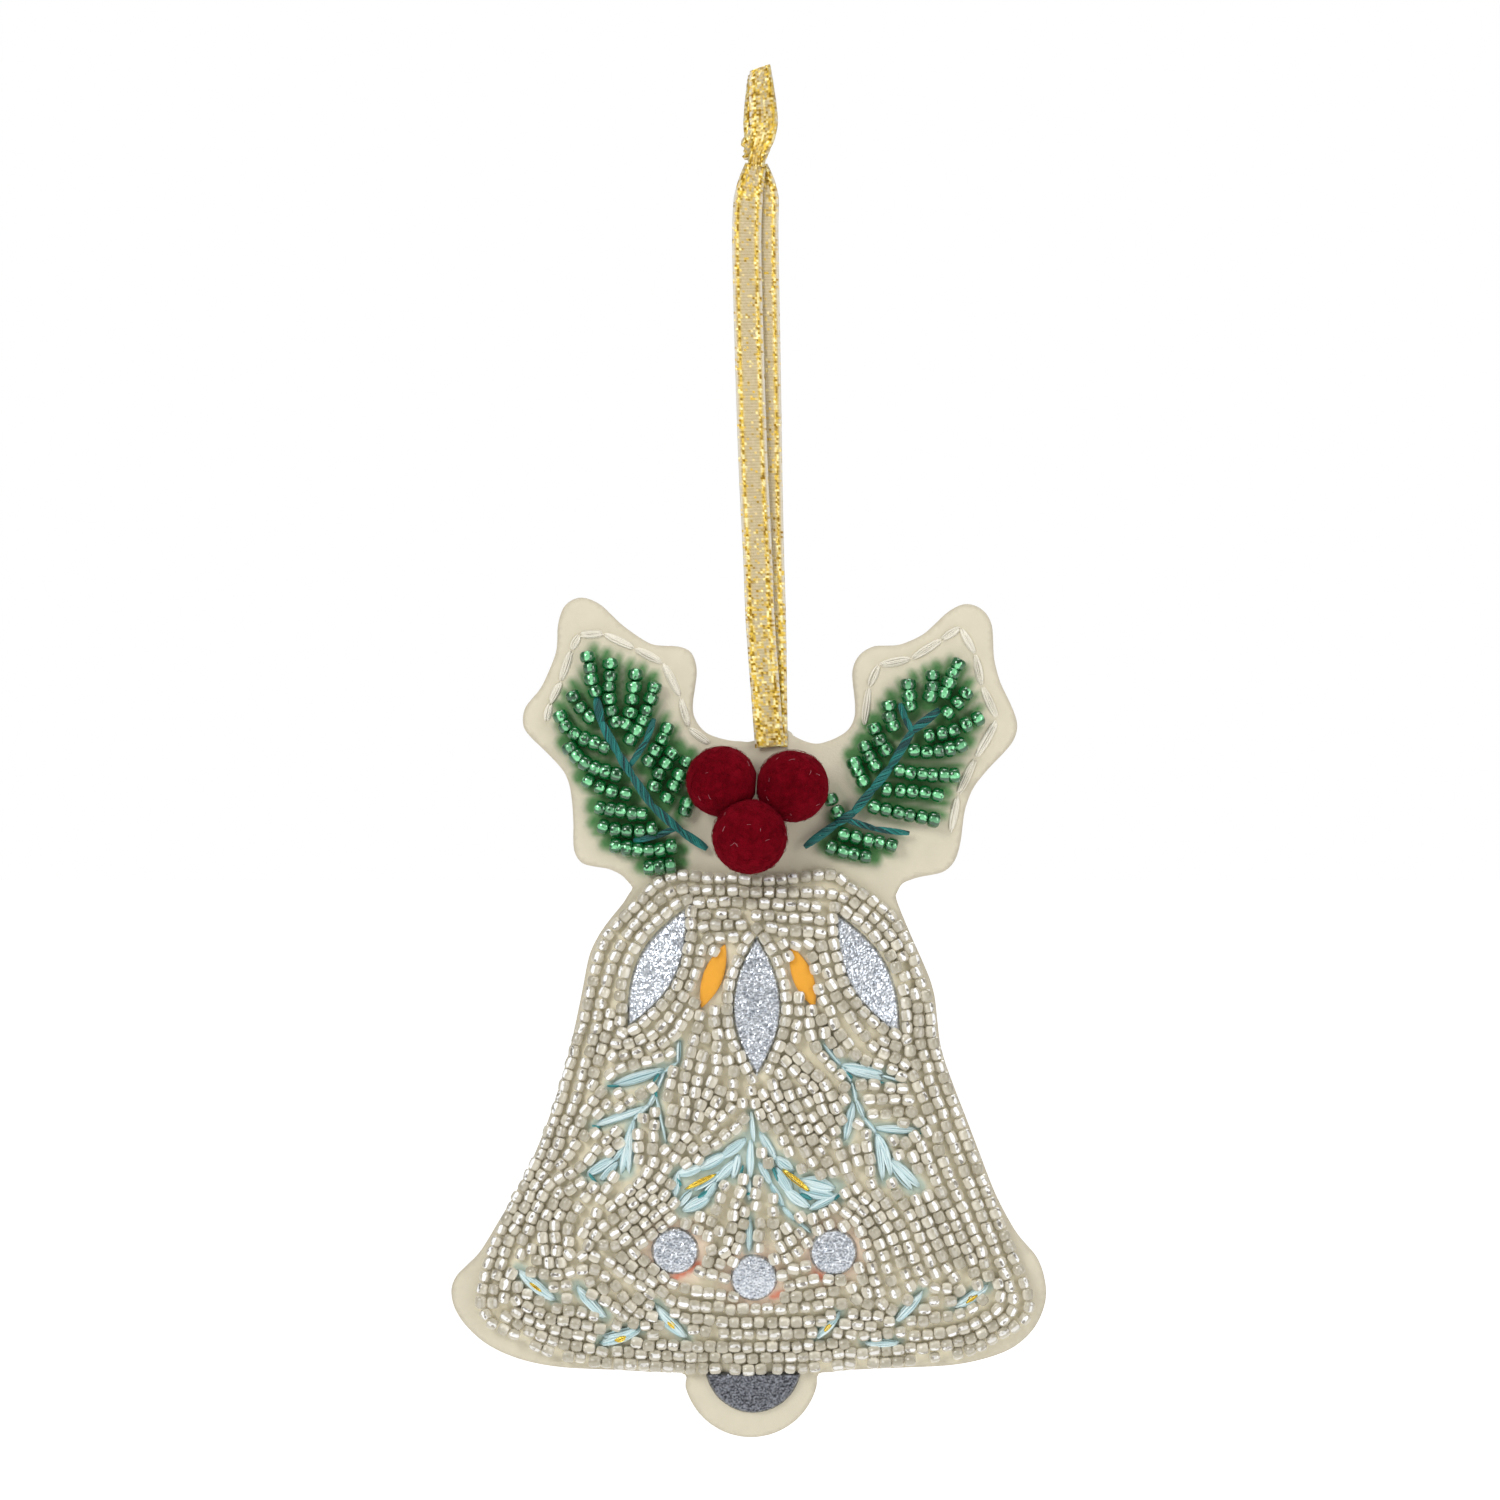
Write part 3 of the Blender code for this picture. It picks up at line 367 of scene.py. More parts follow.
front_tail_path = curve_through((
    (-0.35, -0.75, -0.6), (-0.1, -1.0, 1.6), (0.7, -1.15, 4.2), (1.0, -0.95, 7.0), (0.8, -0.7, 10.5),
    (0.5, -0.5, 14.0), (0.35, -0.4, 16.3)), ribbon_step)
back_tail_path = curve_through((
    (-0.3, 0.6, 0.6), (-0.45, 0.7, 3.0), (-0.3, 0.6, 6.5), (0.05, 0.45, 11.0), (0.25, 0.3, 15.6)),
    ribbon_step)
tail_shapes = (
    ("front", front_tail_path, 0.25, (1.4, 1.55, 2.15, 2.45, 2.4, 2.1, 1.75)),
    ("back", back_tail_path, -0.3, (1.4, 1.5, 1.9, 2.3, 2.4, 2.2, 1.9)),
)
for name, path, tilt, halves in tail_shapes:
    height = path[:, 2]
    half = np.interp(height, (-0.6, 1.6, 4.2, 7.0, 10.5, 14.0, 16.3), halves)
    lean = tilt * np.sin((height - 4) / 5)
    across = np.column_stack([np.cos(lean), np.sin(lean), 0.25 * np.clip((height - 9) / 7, 0, 1)])
    tail = ribbon(f"ribbon_{name}_tail", path, half, across, np.full(len(path), 0.3), "ribbon_top",
                  pleat=0.05 + 0.15 * np.exp(-np.abs(height - 1) / 4), gold=0.5,
                  slant=0.3 * np.clip((height - 11) / 5, 0, 1))
    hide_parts(f"ribbon_tail_{name}")

for side, (strand, route) in strands.items():
    line = curve_through(route, 1.0)
    line = line[(line[:, 1] >= foot_start) & (line[:, 1] <= knot_low)]
    path = np.column_stack([line[:, 0], np.full(len(line), strand_depths[side]), line[:, 1]])[::-1] * MM

# ---------------------------------------------------------------------------------------------
# The body: two layers of cream wool felt cut to one outline, the front one lifted by the stuffing
# and pressed in where stitches pass through it. Thicknesses and depths are the frame's.
felt_thickness = 1.2
front_face = 0.85
rise_reach = 20.0
rise_heights = (-216, -203, -190, -134, -116)
rises = (1.2, 3.0, 6.0, 6.0, 1.2)


def cut_edge(node, facing):
    """The outline of a frame piece's flat face, in order, as points (x, z) in millimetres: the
    edges that only one of its triangles has, followed round."""
    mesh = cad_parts[node].data
    mesh.calc_loop_triangles()
    tri = np.empty(len(mesh.loop_triangles) * 3, int)
    mesh.loop_triangles.foreach_get("vertices", tri)
    co = np.array([v.co for v in mesh.vertices]) / MM
    corners = co[tri.reshape(-1, 3)]
    normal = unit(np.cross(corners[:, 1] - corners[:, 0], corners[:, 2] - corners[:, 0]))
    flat = corners[normal[:, 1] * facing > 0.99][..., (0, 2)]
    places, ids = np.unique(np.rint(flat.reshape(-1, 2) * 1000), axis=0, return_inverse=True)
    ids = ids.reshape(-1, 3)
    sides = {(int(a), int(b)) for t in ids for a, b in zip(t, np.roll(t, -1))}
    following = {a: b for a, b in sides if (b, a) not in sides}
    start = next(iter(following))
    loop = [start]
    while following[loop[-1]] != start:
        loop.append(following[loop[-1]])
    return places[loop] / 1000


edge = cut_edge("back_panel", -1)


def distance_to(points, line, closed=True):
    """The distance of each point from a line through given points."""
    a, b = (line, np.roll(line, -1, axis=0)) if closed else (line[:-1], line[1:])
    run = b - a
    nearest = []
    for some in np.array_split(points, max(len(points) // 4000, 1)):
        to = some[:, None] - a
        t = np.clip((to * run).sum(2) / np.maximum((run**2).sum(1), 1e-12), 0, 1)
        nearest.append(np.linalg.norm(to - t[..., None] * run, axis=2).min(axis=1))
    return np.concatenate(nearest)


def is_inside(points, loop):
    """Whether a line from each point to the far right crosses the loop an odd number of times."""
    a, b = loop, np.roll(loop, -1, axis=0)
    found = []
    for some in np.array_split(points, max(len(points) // 4000, 1)):
        level = some[:, None, 1]
        between = (a[:, 1] > level) != (b[:, 1] > level)
        with np.errstate(divide="ignore", invalid="ignore"):
            at = a[:, 0] + (level - a[:, 1]) * (b - a)[:, 0] / (b - a)[:, 1]
        found.append((between & (some[:, None, 0] < at)).sum(1) % 2 == 1)
    return np.concatenate(found)


def inside_distance(points, loop):
    """How far each point lies inside the loop, and a negative distance outside it."""
    return distance_to(points, loop) * np.where(is_inside(points, loop), 1, -1)


# The dome on a grid of 1 mm: a quarter sine wave in from the edge, its creases smoothed away.
grid_x = np.arange(edge[:, 0].min() - 3, edge[:, 0].max() + 4)
grid_z = np.arange(edge[:, 1].min() - 3, edge[:, 1].max() + 4)
grid = np.stack(np.meshgrid(grid_x, grid_z, indexing="ij"), -1).reshape(-1, 2)
depth_in = np.maximum(inside_distance(grid, edge), 0)
raw = np.interp(grid[:, 1], rise_heights, rises) * np.sin(math.pi / 2 * np.minimum(depth_in / rise_reach, 1))
shape = (len(grid_x), len(grid_z))
soft = raw.reshape(shape)
kernel = np.exp(-((np.arange(-6, 7) / 2.6) ** 2) / 2)
kernel /= kernel.sum()
for axis in (0, 1):
    soft = np.apply_along_axis(lambda row: np.convolve(row, kernel, mode="same"), axis, soft)
share = np.clip((depth_in.reshape(shape) - 2) / 6, 0, 1)
dome_grid = raw.reshape(shape) * (1 - share) + soft * share


def dome(points):
    """How far the stuffing lifts the front felt at points (x, z), read between the grid's points."""
    u = np.clip(points[:, 0] - grid_x[0], 0, len(grid_x) - 1.001)
    v = np.clip(points[:, 1] - grid_z[0], 0, len(grid_z) - 1.001)
    i, j = u.astype(int), v.astype(int)
    u, v = u - i, v - j
    near = dome_grid[i, j] * (1 - v) + dome_grid[i, j + 1] * v
    far = dome_grid[i + 1, j] * (1 - v) + dome_grid[i + 1, j + 1] * v
    return near * (1 - u) + far * u


def outward(points):
    """The front felt's unit normals: minus the dome's slopes in x and z, and -1 in y."""
    slopes = [dome(points + d) - dome(points - d) for d in ((0.5, 0), (0, 0.5))]
    return unit(np.column_stack([-slopes[0], -np.ones(len(points)), -slopes[1]]))


def on_felt(points, height):
    """Points (x, z) put on the front felt, raised by a height along its normal."""
    base = np.column_stack([points[:, 0], front_face - dome(points), points[:, 1]])
    return base + outward(points) * np.reshape(height, (-1, 1))


def filled(outline, spacing):
    """The points and triangles that fill an outline: its own points first, then rows of points
    set like bricks, joined by Delaunay triangles."""
    low, high = outline.min(axis=0), outline.max(axis=0)
    rows = np.arange(low[1], high[1], spacing * 0.866)
    x, z = np.meshgrid(np.arange(low[0], high[0], spacing), rows)
    x = x + (np.arange(len(rows)) % 2 * spacing / 2)[:, None]
    inner = np.column_stack([x.ravel(), z.ravel()])
    inner = inner[inside_distance(inner, outline) > 0.55 * spacing]
    points = np.vstack([outline, inner])
    count = len(outline)
    sides = [(i, (i + 1) % count) for i in range(count)]
    made = delaunay_2d_cdt([Vector(p) for p in points], sides, [], 1, 1e-6)
    return np.array([tuple(p) for p in made[0]]), np.array(made[2]), count


def cut_piece(name, outline, spacing, heights, thickness, material, slot, smooth=True, round_edge=0.12,
              **values):
    """A closed piece of cloth: a face and a back a thickness apart, over the same points, and
    between their rims a wall that bulges in the middle. heights gives the face's depth y."""
    flat, triangles, count = filled(outline, spacing)
    face = np.column_stack([flat[:, 0], heights(flat), flat[:, 1]])
    back = face + (0, thickness, 0)
    rim = flat[:count]
    out = np.roll(rim, -1, axis=0) - np.roll(rim, 1, axis=0)
    out = unit(np.column_stack([out[:, 1], -out[:, 0]]))
    if is_inside(rim[:1] + 0.05 * out[:1], outline)[0]:
        out = -out
    bulge = (face[:count] + back[:count]) / 2
    bulge = bulge + round_edge * np.column_stack([out[:, 0], 0 * out[:, 0], out[:, 1]])
    points = np.vstack([face, back, bulge])
    n = len(flat)
    i = np.arange(count)
    k = (i + 1) % count
    walls = [np.stack([i, k, k + 2 * n, i + 2 * n], -1), np.stack([i + 2 * n, k + 2 * n, k + n, i + n], -1)]
    for key, numbers in values.items():
        numbers = numbers(flat)
        values[key] = np.concatenate([numbers, numbers, numbers[:count]])
    sign = triangle_turn(flat, triangles)
    tops = triangles if sign > 0 else triangles[:, ::-1]
    rim_turn = np.sign(((rim[:, 0] * np.roll(rim[:, 1], -1)) - (np.roll(rim[:, 0], -1) * rim[:, 1])).sum())
    walls = [w[:, ::-1] if rim_turn > 0 else w for w in walls]
    return piece(name, points, [tops, tops[:, ::-1] + n, *walls], material, "ornament", slot, smooth,
                 **values)


def triangle_turn(flat, triangles):
    """The sign of the triangles' turn in the plane of x and z, seen from the front."""
    a, b, c = (flat[triangles[:, k]] for k in range(3))
    return np.sign(np.median((b - a)[:, 0] * (c - a)[:, 1] - (b - a)[:, 1] * (c - a)[:, 0]))


beaded_field = np.array((
    (-20.1, -125.3), (-17.5, -122.6), (-13.3, -120.9), (-7.3, -121.4), (-0.5, -121.9), (6, -121.4),
    (12.4, -120.9), (15.6, -122.7), (20.7, -126.3), (23, -128.4), (25.5, -132.9), (27.7, -138.6),
    (29.1, -143.7), (29.9, -150.5), (34, -162.9), (39.1, -176), (43.2, -186.2), (46.2, -193.3),
    (46.2, -195.8), (45.4, -197.9), (42.2, -200.1), (37.7, -202.8), (32.6, -204.2), (23.6, -205.4),
    (15.6, -205.8), (10.1, -206.4), (-1.2, -206.7), (-12.4, -206.5), (-20.1, -206), (-28.6, -205.3),
    (-33.7, -204.2), (-38.6, -202.3), (-42.5, -200.1), (-46.1, -198.1), (-47.4, -195.8), (-47.1, -192.4),
    (-44.2, -183.6), (-38.6, -172.6), (-34.7, -163.5), (-30.1, -147.1), (-28.6, -139.4), (-27.2, -134),
    (-24.8, -130.2),
))
marquises = {
    "left": ((-12.2, -127.2), (-22.1, -147.4), 7.1),
    "centre": ((-0.2, -131.9), (-0.2, -155.6), 8.3),
    "right": ((13.4, -128.2), (24.1, -148.8), 7.1),
}
discs = {"left": (-14.1, -185.3), "centre": (-0.7, -189.9), "right": (12.8, -185.5)}
disc_radius = 4.0

# Holly stitching lines, near which the felt is drawn in
edge_stitches = {
    "left": (
        (-36.3, -95.4), (-35.6, -92.3), (-33.8, -88.6), (-31.9, -83.2), (-30.6, -80.6), (-26.4, -80.4),
        (-21.1, -82.9), (-16.3, -85.4), (-13.3, -91.3), (-11.8, -96.6), (-8.2, -99.2),
    ),
    "right": (
        (18.1, -96.2), (19, -89.4), (20.6, -85.8), (26.3, -84.7), (31.5, -81.4), (34.6, -79.4),
        (37.2, -83.9), (38.3, -89.3), (41, -95), (37.2, -101.8), (34.3, -107.9), (33, -114.6),
    ),
}


def front_heights(points):
    """The front felt's face: the dome, less a groove along the beads' border and along the leaves'
    stitches, with a slow unevenness of a few hundredths of a millimetre."""
    border = 0.3 * np.exp(-((inside_distance(points, beaded_field) / 1.3) ** 2))
    groove = sum(
        0.28 * np.exp(-((distance_to(points, np.array(line), closed=False) / 0.9) ** 2))
        for line in edge_stitches.values()
    )
    wave = 0.05 * np.sin(points[:, 0] * 0.9 + 1.3 * np.sin(points[:, 1] * 0.4)) * np.sin(points[:, 1] * 0.7)
    inside = np.clip(distance_to(points, edge) / 2, 0, 1)
    return front_face - dome(points) + (border + groove + wave) * inside


# Khaki under the beads, paler than the felt: painted light that lifts the shade between the
# beads. Printed rose, teal and coral, painted green light from the leaves' beads, and a darker cut rim
felt_tints = {
    "khaki": (0.84, 0.78, 0.6), "rose": (0.85, 0.58, 0.46), "teal": (0.2, 0.42, 0.42),
    "green": (0.04, 0.2, 0.04), "rim": (0.42, 0.36, 0.26), "coral": (0.85, 0.2, 0.1),
}


def wool_felt(name, colour, tinted=False):
    """Pressed wool: a mottled colour, fine matted fibres as bump, and a faint sheen. A tinted felt
    also takes each tint where its mesh's value of that name says."""
    material, tree, shader = surface(name, roughness=0.95, sheen_weight=0.35, sheen_roughness=0.6)
    mottled = blend_colours(tree, grain(tree, 3.0, 3.0), tuple(c * 0.9 for c in colour), colour)
    for value, tint in felt_tints.items() if tinted else ():
        mottled = blend_colours(tree, value_of(tree, value), mottled, tint)
    tree.links.new(mottled, shader.inputs["Base Color"])
    bump(tree, shader, grain(tree, 0.35, 4.0), 0.35, 0.15)
    return material


# Floss stitches: from, to and width; used for the sewing below and for the teal tint round them
sprig_stitches = (
    (-1.1, -161.7, -0.7, -166.6, 1.0), (-1.2, -166.4, -1.4, -173.2, 1.5), (-1.5, -173.0, -1.4, -176.6, 1.0),
    (-1.4, -179.5, -1.5, -185.3, 1.3),
    (-2.0, -166.3, -6.4, -169.6, 2.0), (-5.4, -168.8, -10.2, -171.4, 2.1),
    (-9.4, -170.9, -13.8, -172.3, 2.2),
    (-13.6, -171.9, -14.0, -176.1, 1.5), (-12.7, -178.4, -8.2, -176.1, 2.3),
    (-9.5, -176.6, -6.9, -173.4, 1.7),
    (-7.2, -173.6, -3.6, -169.8, 1.8), (-3.3, -168.9, -4.2, -173.0, 1.5),
    (-13.3, -177.6, -11.4, -175.2, 1.3),
    (-10.8, -174.9, -6.2, -171.8, 1.6),
    (0.4, -165.2, 3.1, -169.9, 1.4), (3.0, -169.4, 6.0, -171.6, 1.9), (3.0, -171.2, 5.6, -175.4, 2.0),
    (4.4, -174.6, 8.7, -178.0, 2.1), (7.2, -173.2, 13.0, -174.7, 3.0), (7.0, -174.9, 13.4, -176.2, 2.2),
    (8.7, -178.3, 13.6, -175.7, 1.7), (0.2, -170.2, 2.3, -174.0, 1.3), (2.2, -173.9, 4.2, -177.6, 1.1),
    (4.2, -177.9, 6.4, -180.1, 1.0), (6.3, -180.0, 9.0, -182.2, 0.8),
    (-13.4, -149.8, -13.6, -153.3, 0.8), (-13.6, -153.3, -15.8, -154.9, 0.8),
    (-15.8, -154.9, -17.2, -158.3, 0.9),
    (-17.2, -158.3, -18.5, -160.9, 0.9), (-18.4, -160.6, -20.9, -163.0, 1.1),
    (-20.9, -163.0, -21.6, -166.6, 1.1),
    (-21.6, -166.6, -24.4, -170.1, 1.2), (-15.9, -154.5, -24.9, -157.5, 1.9),
    (-18.6, -160.9, -28.0, -164.5, 1.4),
    (-20.4, -161.9, -27.4, -163.9, 1.2), (-21.0, -163.2, -23.2, -172.3, 1.7),
    (-21.5, -163.6, -22.0, -172.0, 1.5),
    (-24.2, -169.6, -29.0, -172.6, 1.8), (-23.8, -170.4, -26.6, -173.4, 1.3),
    (-17.3, -159.0, -15.6, -167.0, 0.8),
    (11.1, -150.1, 14.1, -153.9, 0.9), (14.1, -153.9, 15.9, -156.8, 0.9), (15.9, -156.8, 16.6, -160.0, 0.9),
    (16.6, -159.6, 18.0, -162.8, 0.9), (17.8, -162.6, 20.0, -165.3, 1.0), (20.0, -165.3, 22.4, -170.3, 1.5),
    (14.2, -153.7, 21.3, -155.2, 1.7), (14.4, -154.3, 21.2, -156.2, 1.6), (21.0, -155.7, 24.6, -156.9, 0.6),
    (16.1, -160.1, 14.8, -166.5, 1.6), (19.8, -164.5, 27.1, -165.2, 1.5), (20.1, -165.2, 21.2, -173.4, 1.5),
    (20.6, -165.8, 22.6, -172.6, 1.3), (22.2, -169.6, 27.4, -174.6, 1.8), (22.6, -170.6, 26.0, -175.0, 1.4),
)
hem_stitches = {
    1: ((-40.7, -189.0, -34.5, -193.7, 1.9),),
    2: ((-30.7, -191.5, -26.0, -196.8, 1.7), (-30.2, -192.9, -26.2, -196.6, 1.0)),
    3: ((-26.9, -201.5, -20.1, -198.9, 2.0), (-26.4, -200.2, -20.4, -198.6, 1.2)),
    4: ((-17.4, -194.7, -12.2, -200.4, 1.8), (-17.0, -196.5, -12.6, -200.2, 1.4)),
    5: ((39.0, -191.5, 33.3, -194.9, 1.9),),
    6: ((27.9, -192.3, 23.4, -197.5, 1.6), (27.2, -193.8, 23.6, -197.4, 1.2)),
    7: ((13.9, -195.9, 9.8, -200.5, 1.6), (13.5, -197.2, 10.0, -200.4, 1.3)),
    8: ((18.2, -201.3, 24.0, -201.3, 1.5),),
}
all_stitches = np.array([*sprig_stitches, *(s for leaf in hem_stitches.values() for s in leaf)])


def near_stitches(points):
    """The least distance of each point from a floss stitch's own width."""
    nearest = np.full(len(points), np.inf)
    for x1, z1, x2, z2, width in all_stitches:
        away = distance_to(points, np.array(((x1, z1), (x2, z2))), closed=False) - width / 2
        nearest = np.minimum(nearest, away)
    return nearest


leaf_strands = {
    "left": (
        ((-29.2, -83.3), (-28.6, -87.4), (-27.5, -91.3)),
        ((-32, -90.1), (-30.1, -93.3), (-27.7, -95.4)),
        ((-34.2, -93.7), (-31.5, -97.4), (-25, -100.1)),
        ((-32.6, -99.1), (-29.8, -102.3), (-23.1, -104.7)),
        ((-29.8, -105.1), (-26.2, -106.9), (-21.4, -108.1)),
        ((-27.7, -109.8), (-23.5, -110.7), (-18.7, -111.4)),
        ((-27.4, -113.1), (-22.1, -114.2), (-17, -113.7)),
        ((-25.2, -116.5), (-19.2, -117.5), (-13.6, -116.8)),
        ((-25.2, -84.7), (-25.3, -92.1), (-24, -96.4)),
        ((-20.9, -86.4), (-21.8, -93.7), (-23.1, -96.9)),
        ((-17.5, -88.7), (-19.7, -95.4), (-22.4, -99.5)),
        ((-15.1, -95.7), (-17.3, -100.1), (-19.4, -103)),
        ((-14.1, -100.1), (-17, -104.7), (-18, -107.4)),
        ((-11.6, -101.7), (-13.8, -105.4), (-16, -109.5)),
        ((-11.7, -108.8), (-12.2, -110.2), (-12.7, -111.4)),
        ((-19.2, -120.4), (-16.4, -120.3), (-13.8, -120.0)),
    ),
    "right": (
        ((34.7, -84.7), (33.2, -87.4), (31.3, -91.5)),
        ((36.2, -89.8), (34, -92.3), (31.6, -94.7)),
        ((38.2, -94.4), (34.7, -96.4), (28.2, -98.1)),
        ((35.4, -99.1), (30.9, -100.5), (25.7, -100.5)),
        ((34.3, -104.4), (28.9, -104.6), (23.3, -103.7)),
        ((31.6, -108.1), (26.7, -107.4), (20.9, -107.1)),
        ((30.8, -112.4), (25, -111.2), (18.9, -109.8)),
        ((23.6, -116.8), (18.7, -115.6), (13.6, -114.8)),
        ((29.9, -86.7), (29.8, -89.4), (29.2, -92.1)),
        ((25.7, -88.4), (25.8, -91.1), (26.4, -93.7)),
        ((22.3, -91.8), (22.6, -94.5), (23.6, -97.1)),
        ((19.6, -95.7), (20.7, -98.4), (22.6, -101.2)),
        ((18, -99.1), (19, -101.5), (20.6, -103.7)),
        ((16.2, -101.7), (17, -104.2), (18.4, -106.4)),
        ((11.9, -107.8), (13, -109.9), (14, -112.0)),
        ((19.2, -118.7), (15, -118.0), (11.5, -116.9)),
    ),
}


def green_light(points):
    """Green that the glass beads throw on the felt between two neighbouring strands: it fades away
    from the nearest strand, and where the second nearest is far."""
    lines = [line for side in leaf_strands.values() for line in side]
    away = [distance_to(points, np.array(line), closed=False) for line in lines]
    near, next_near = np.sort(away, axis=0)[:2]
    return 0.95 * np.clip(1 - (near - 1.4) / 1.2, 0, 1) * np.clip((4.8 - next_near) / 1.4, 0, 1)


petals = (
    ((-2.2, -166.6), (-9.9, -171.5), (-13.9, -172.6), (-13.9, -176.5), (-12, -178.4), (-7.5, -176.3),
     (-3.6, -170.2)),
    ((0.5, -165.6), (6.1, -171.4), (13.2, -173.5), (13.6, -176.5), (8.7, -178.4), (3.5, -174.3)),
)


def rose_print(points):
    """Soft blots of salmon round the three discs."""
    away = np.min([np.linalg.norm(points - c, axis=1) for c in discs.values()], axis=0)
    return 0.6 * np.clip(1 - (away - disc_radius) / 3.2, 0, 1)


def coral_print(points):
    """Three small coral marks beside the discs."""
    marks = (
        ((-14.1, -189.9), (-10.0, -187.4)), ((2.6, -193.2), (4.0, -192.6)),
        ((9.7, -189.2), (11.4, -190.2)),
    )
    away = [distance_to(points, np.array(mark), closed=False) for mark in marks]
    return np.clip(1.6 - np.min(away, axis=0) / 0.5, 0, 1) * 0.8


cream_felt = wool_felt("cream_felt", (0.65, 0.595, 0.455), tinted=True)
plain_felt = wool_felt("plain_cream_felt", (0.65, 0.595, 0.455))
fine_edge = curve_through(edge, 0.6, closed=True)
front_felt = cut_piece(
    "front_felt", fine_edge, 0.75, front_heights, felt_thickness, cream_felt, "cream_felt",
    # khaki: painted light on the felt under the beads; green: painted green light between the leaves' strands
    khaki=lambda p: np.clip(inside_distance(p, beaded_field) / 1.0 + 0.3, 0, 1),
    rose=rose_print,
    teal=lambda p: np.maximum(0.55 * np.clip(1 - near_stitches(p) / 0.7, 0, 1),
                              0.4 * (is_inside(p, np.array(petals[0])) | is_inside(p, np.array(petals[1])))),
    green=green_light,
    rim=lambda p: 0.5 * np.clip(1 - distance_to(p, edge) / 0.5, 0, 1),
    coral=coral_print,
)
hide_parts("front_panel")
back_face = front_face + felt_thickness + 0.3
back_felt = cut_piece(
    "back_felt", fine_edge, 1.6,
    lambda p: back_face + 0.05 * np.sin(p[:, 0] * 0.35) * np.sin(p[:, 1] * 0.31),
    felt_thickness, plain_felt, "cream_felt",
)
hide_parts("back_panel")

# The stuffing: loose white fibre between the two felts, crowned as the front is and flat behind.
white_fibre, fibre_tree, fibre_shader = surface("white_fibre", base_color=(0.9, 0.9, 0.88, 1), roughness=1.0)
bump(fibre_tree, fibre_shader, grain(fibre_tree, 0.8, 5.0), 0.8, 0.4)
stuffing_edge = curve_through(cut_edge("bell_filling", 1), 1.5, closed=True)
stuffing_back = front_face + felt_thickness - 0.1


def stuffing():
    """A closed pad whose crown follows the dome under the felt, with slow lumps, and tapers to its
    rim over 4 mm."""
    flat, triangles, count = filled(stuffing_edge, 1.6)
    taper = np.sqrt(np.clip(distance_to(flat, stuffing_edge) / 4, 0, 1))
    lumps = 0.2 * np.sin(flat[:, 0] * 1.1) * np.sin(flat[:, 1] * 0.9)
    crown = stuffing_back - 0.3 - (np.maximum(dome(flat) - 1.0 + lumps, 0.3)) * taper
    points = np.vstack([
        np.column_stack([flat[:, 0], crown, flat[:, 1]]),
        np.column_stack([flat[:, 0], np.full(len(flat), stuffing_back), flat[:, 1]]),
    ])
    n = len(flat)
    i = np.arange(count)
    k = (i + 1) % count
    walls = np.stack([i, i + n, k + n, k], -1)
    return piece("bell_stuffing", points, [triangles, triangles[:, ::-1] + n, walls], white_fibre,
                 "ornament", "wadding")


bell_stuffing = stuffing()
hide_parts("bell_filling")

# ---------------------------------------------------------------------------------------------
# Three wool felt balls, rolled by hand from crimson fibre, sewn on between the leaves. Each is a
# little lumpy, pressed flat where it meets its neighbours, and has loose fibres lying over it.
crimson, crimson_tree, crimson_shader = surface(
    "crimson_wool", roughness=1.0, sheen_weight=0.12, sheen_roughness=0.4, sheen_tint=(0.8, 0.02, 0.08, 1),
    specular_ior_level=0.08)
crimson_tree.links.new(
    blend_colours(crimson_tree, grain(crimson_tree, 0.9, 4.0), (0.095, 0.0002, 0.003), (0.2, 0.0006, 0.008)),
    crimson_shader.inputs["Base Color"])
bump(crimson_tree, crimson_shader, grain(crimson_tree, 0.3, 5.0), 0.9, 0.3)

pale_lint = surface("pale_lint", base_color=(0.55, 0.3, 0.32, 1), roughness=0.8)[0]


def lump(points, size, seed):
    """Smooth noise from -1 to 1 at points in space: a sum of sines with turned directions."""
    draw = np.random.default_rng(seed)
    ways = draw.normal(size=(10, 3)) / size
    shifts = draw.random(10) * 2 * math.pi
    return np.sin(points @ ways.T + shifts).mean(axis=1) * 2


def ring_faces(rings, sides, count):
    """The faces of so many closed tubes. Each one's points are its rings, of so many sides, and
    then the tips of its two ends: quads along the rings, and triangles round the tips."""
    size = rings * sides + 2
    i, j = np.meshgrid(np.arange(rings - 1), np.arange(sides), indexing="ij")
    j1 = (j + 1) % sides
    quads = np.stack([i * sides + j, (i + 1) * sides + j, (i + 1) * sides + j1, i * sides + j1], -1)
    j, j1 = j[0], j1[0]
    last = (rings - 1) * sides
    tips = np.vstack([
        np.stack([np.full(sides, size - 2), j, j1], -1),
        np.stack([np.full(sides, size - 1), last + j1, last + j], -1),
    ])
    base = (np.arange(count) * size)[:, None, None]
    return [(quads.reshape(-1, 4) + base).reshape(-1, 4), (tips + base).reshape(-1, 3)]


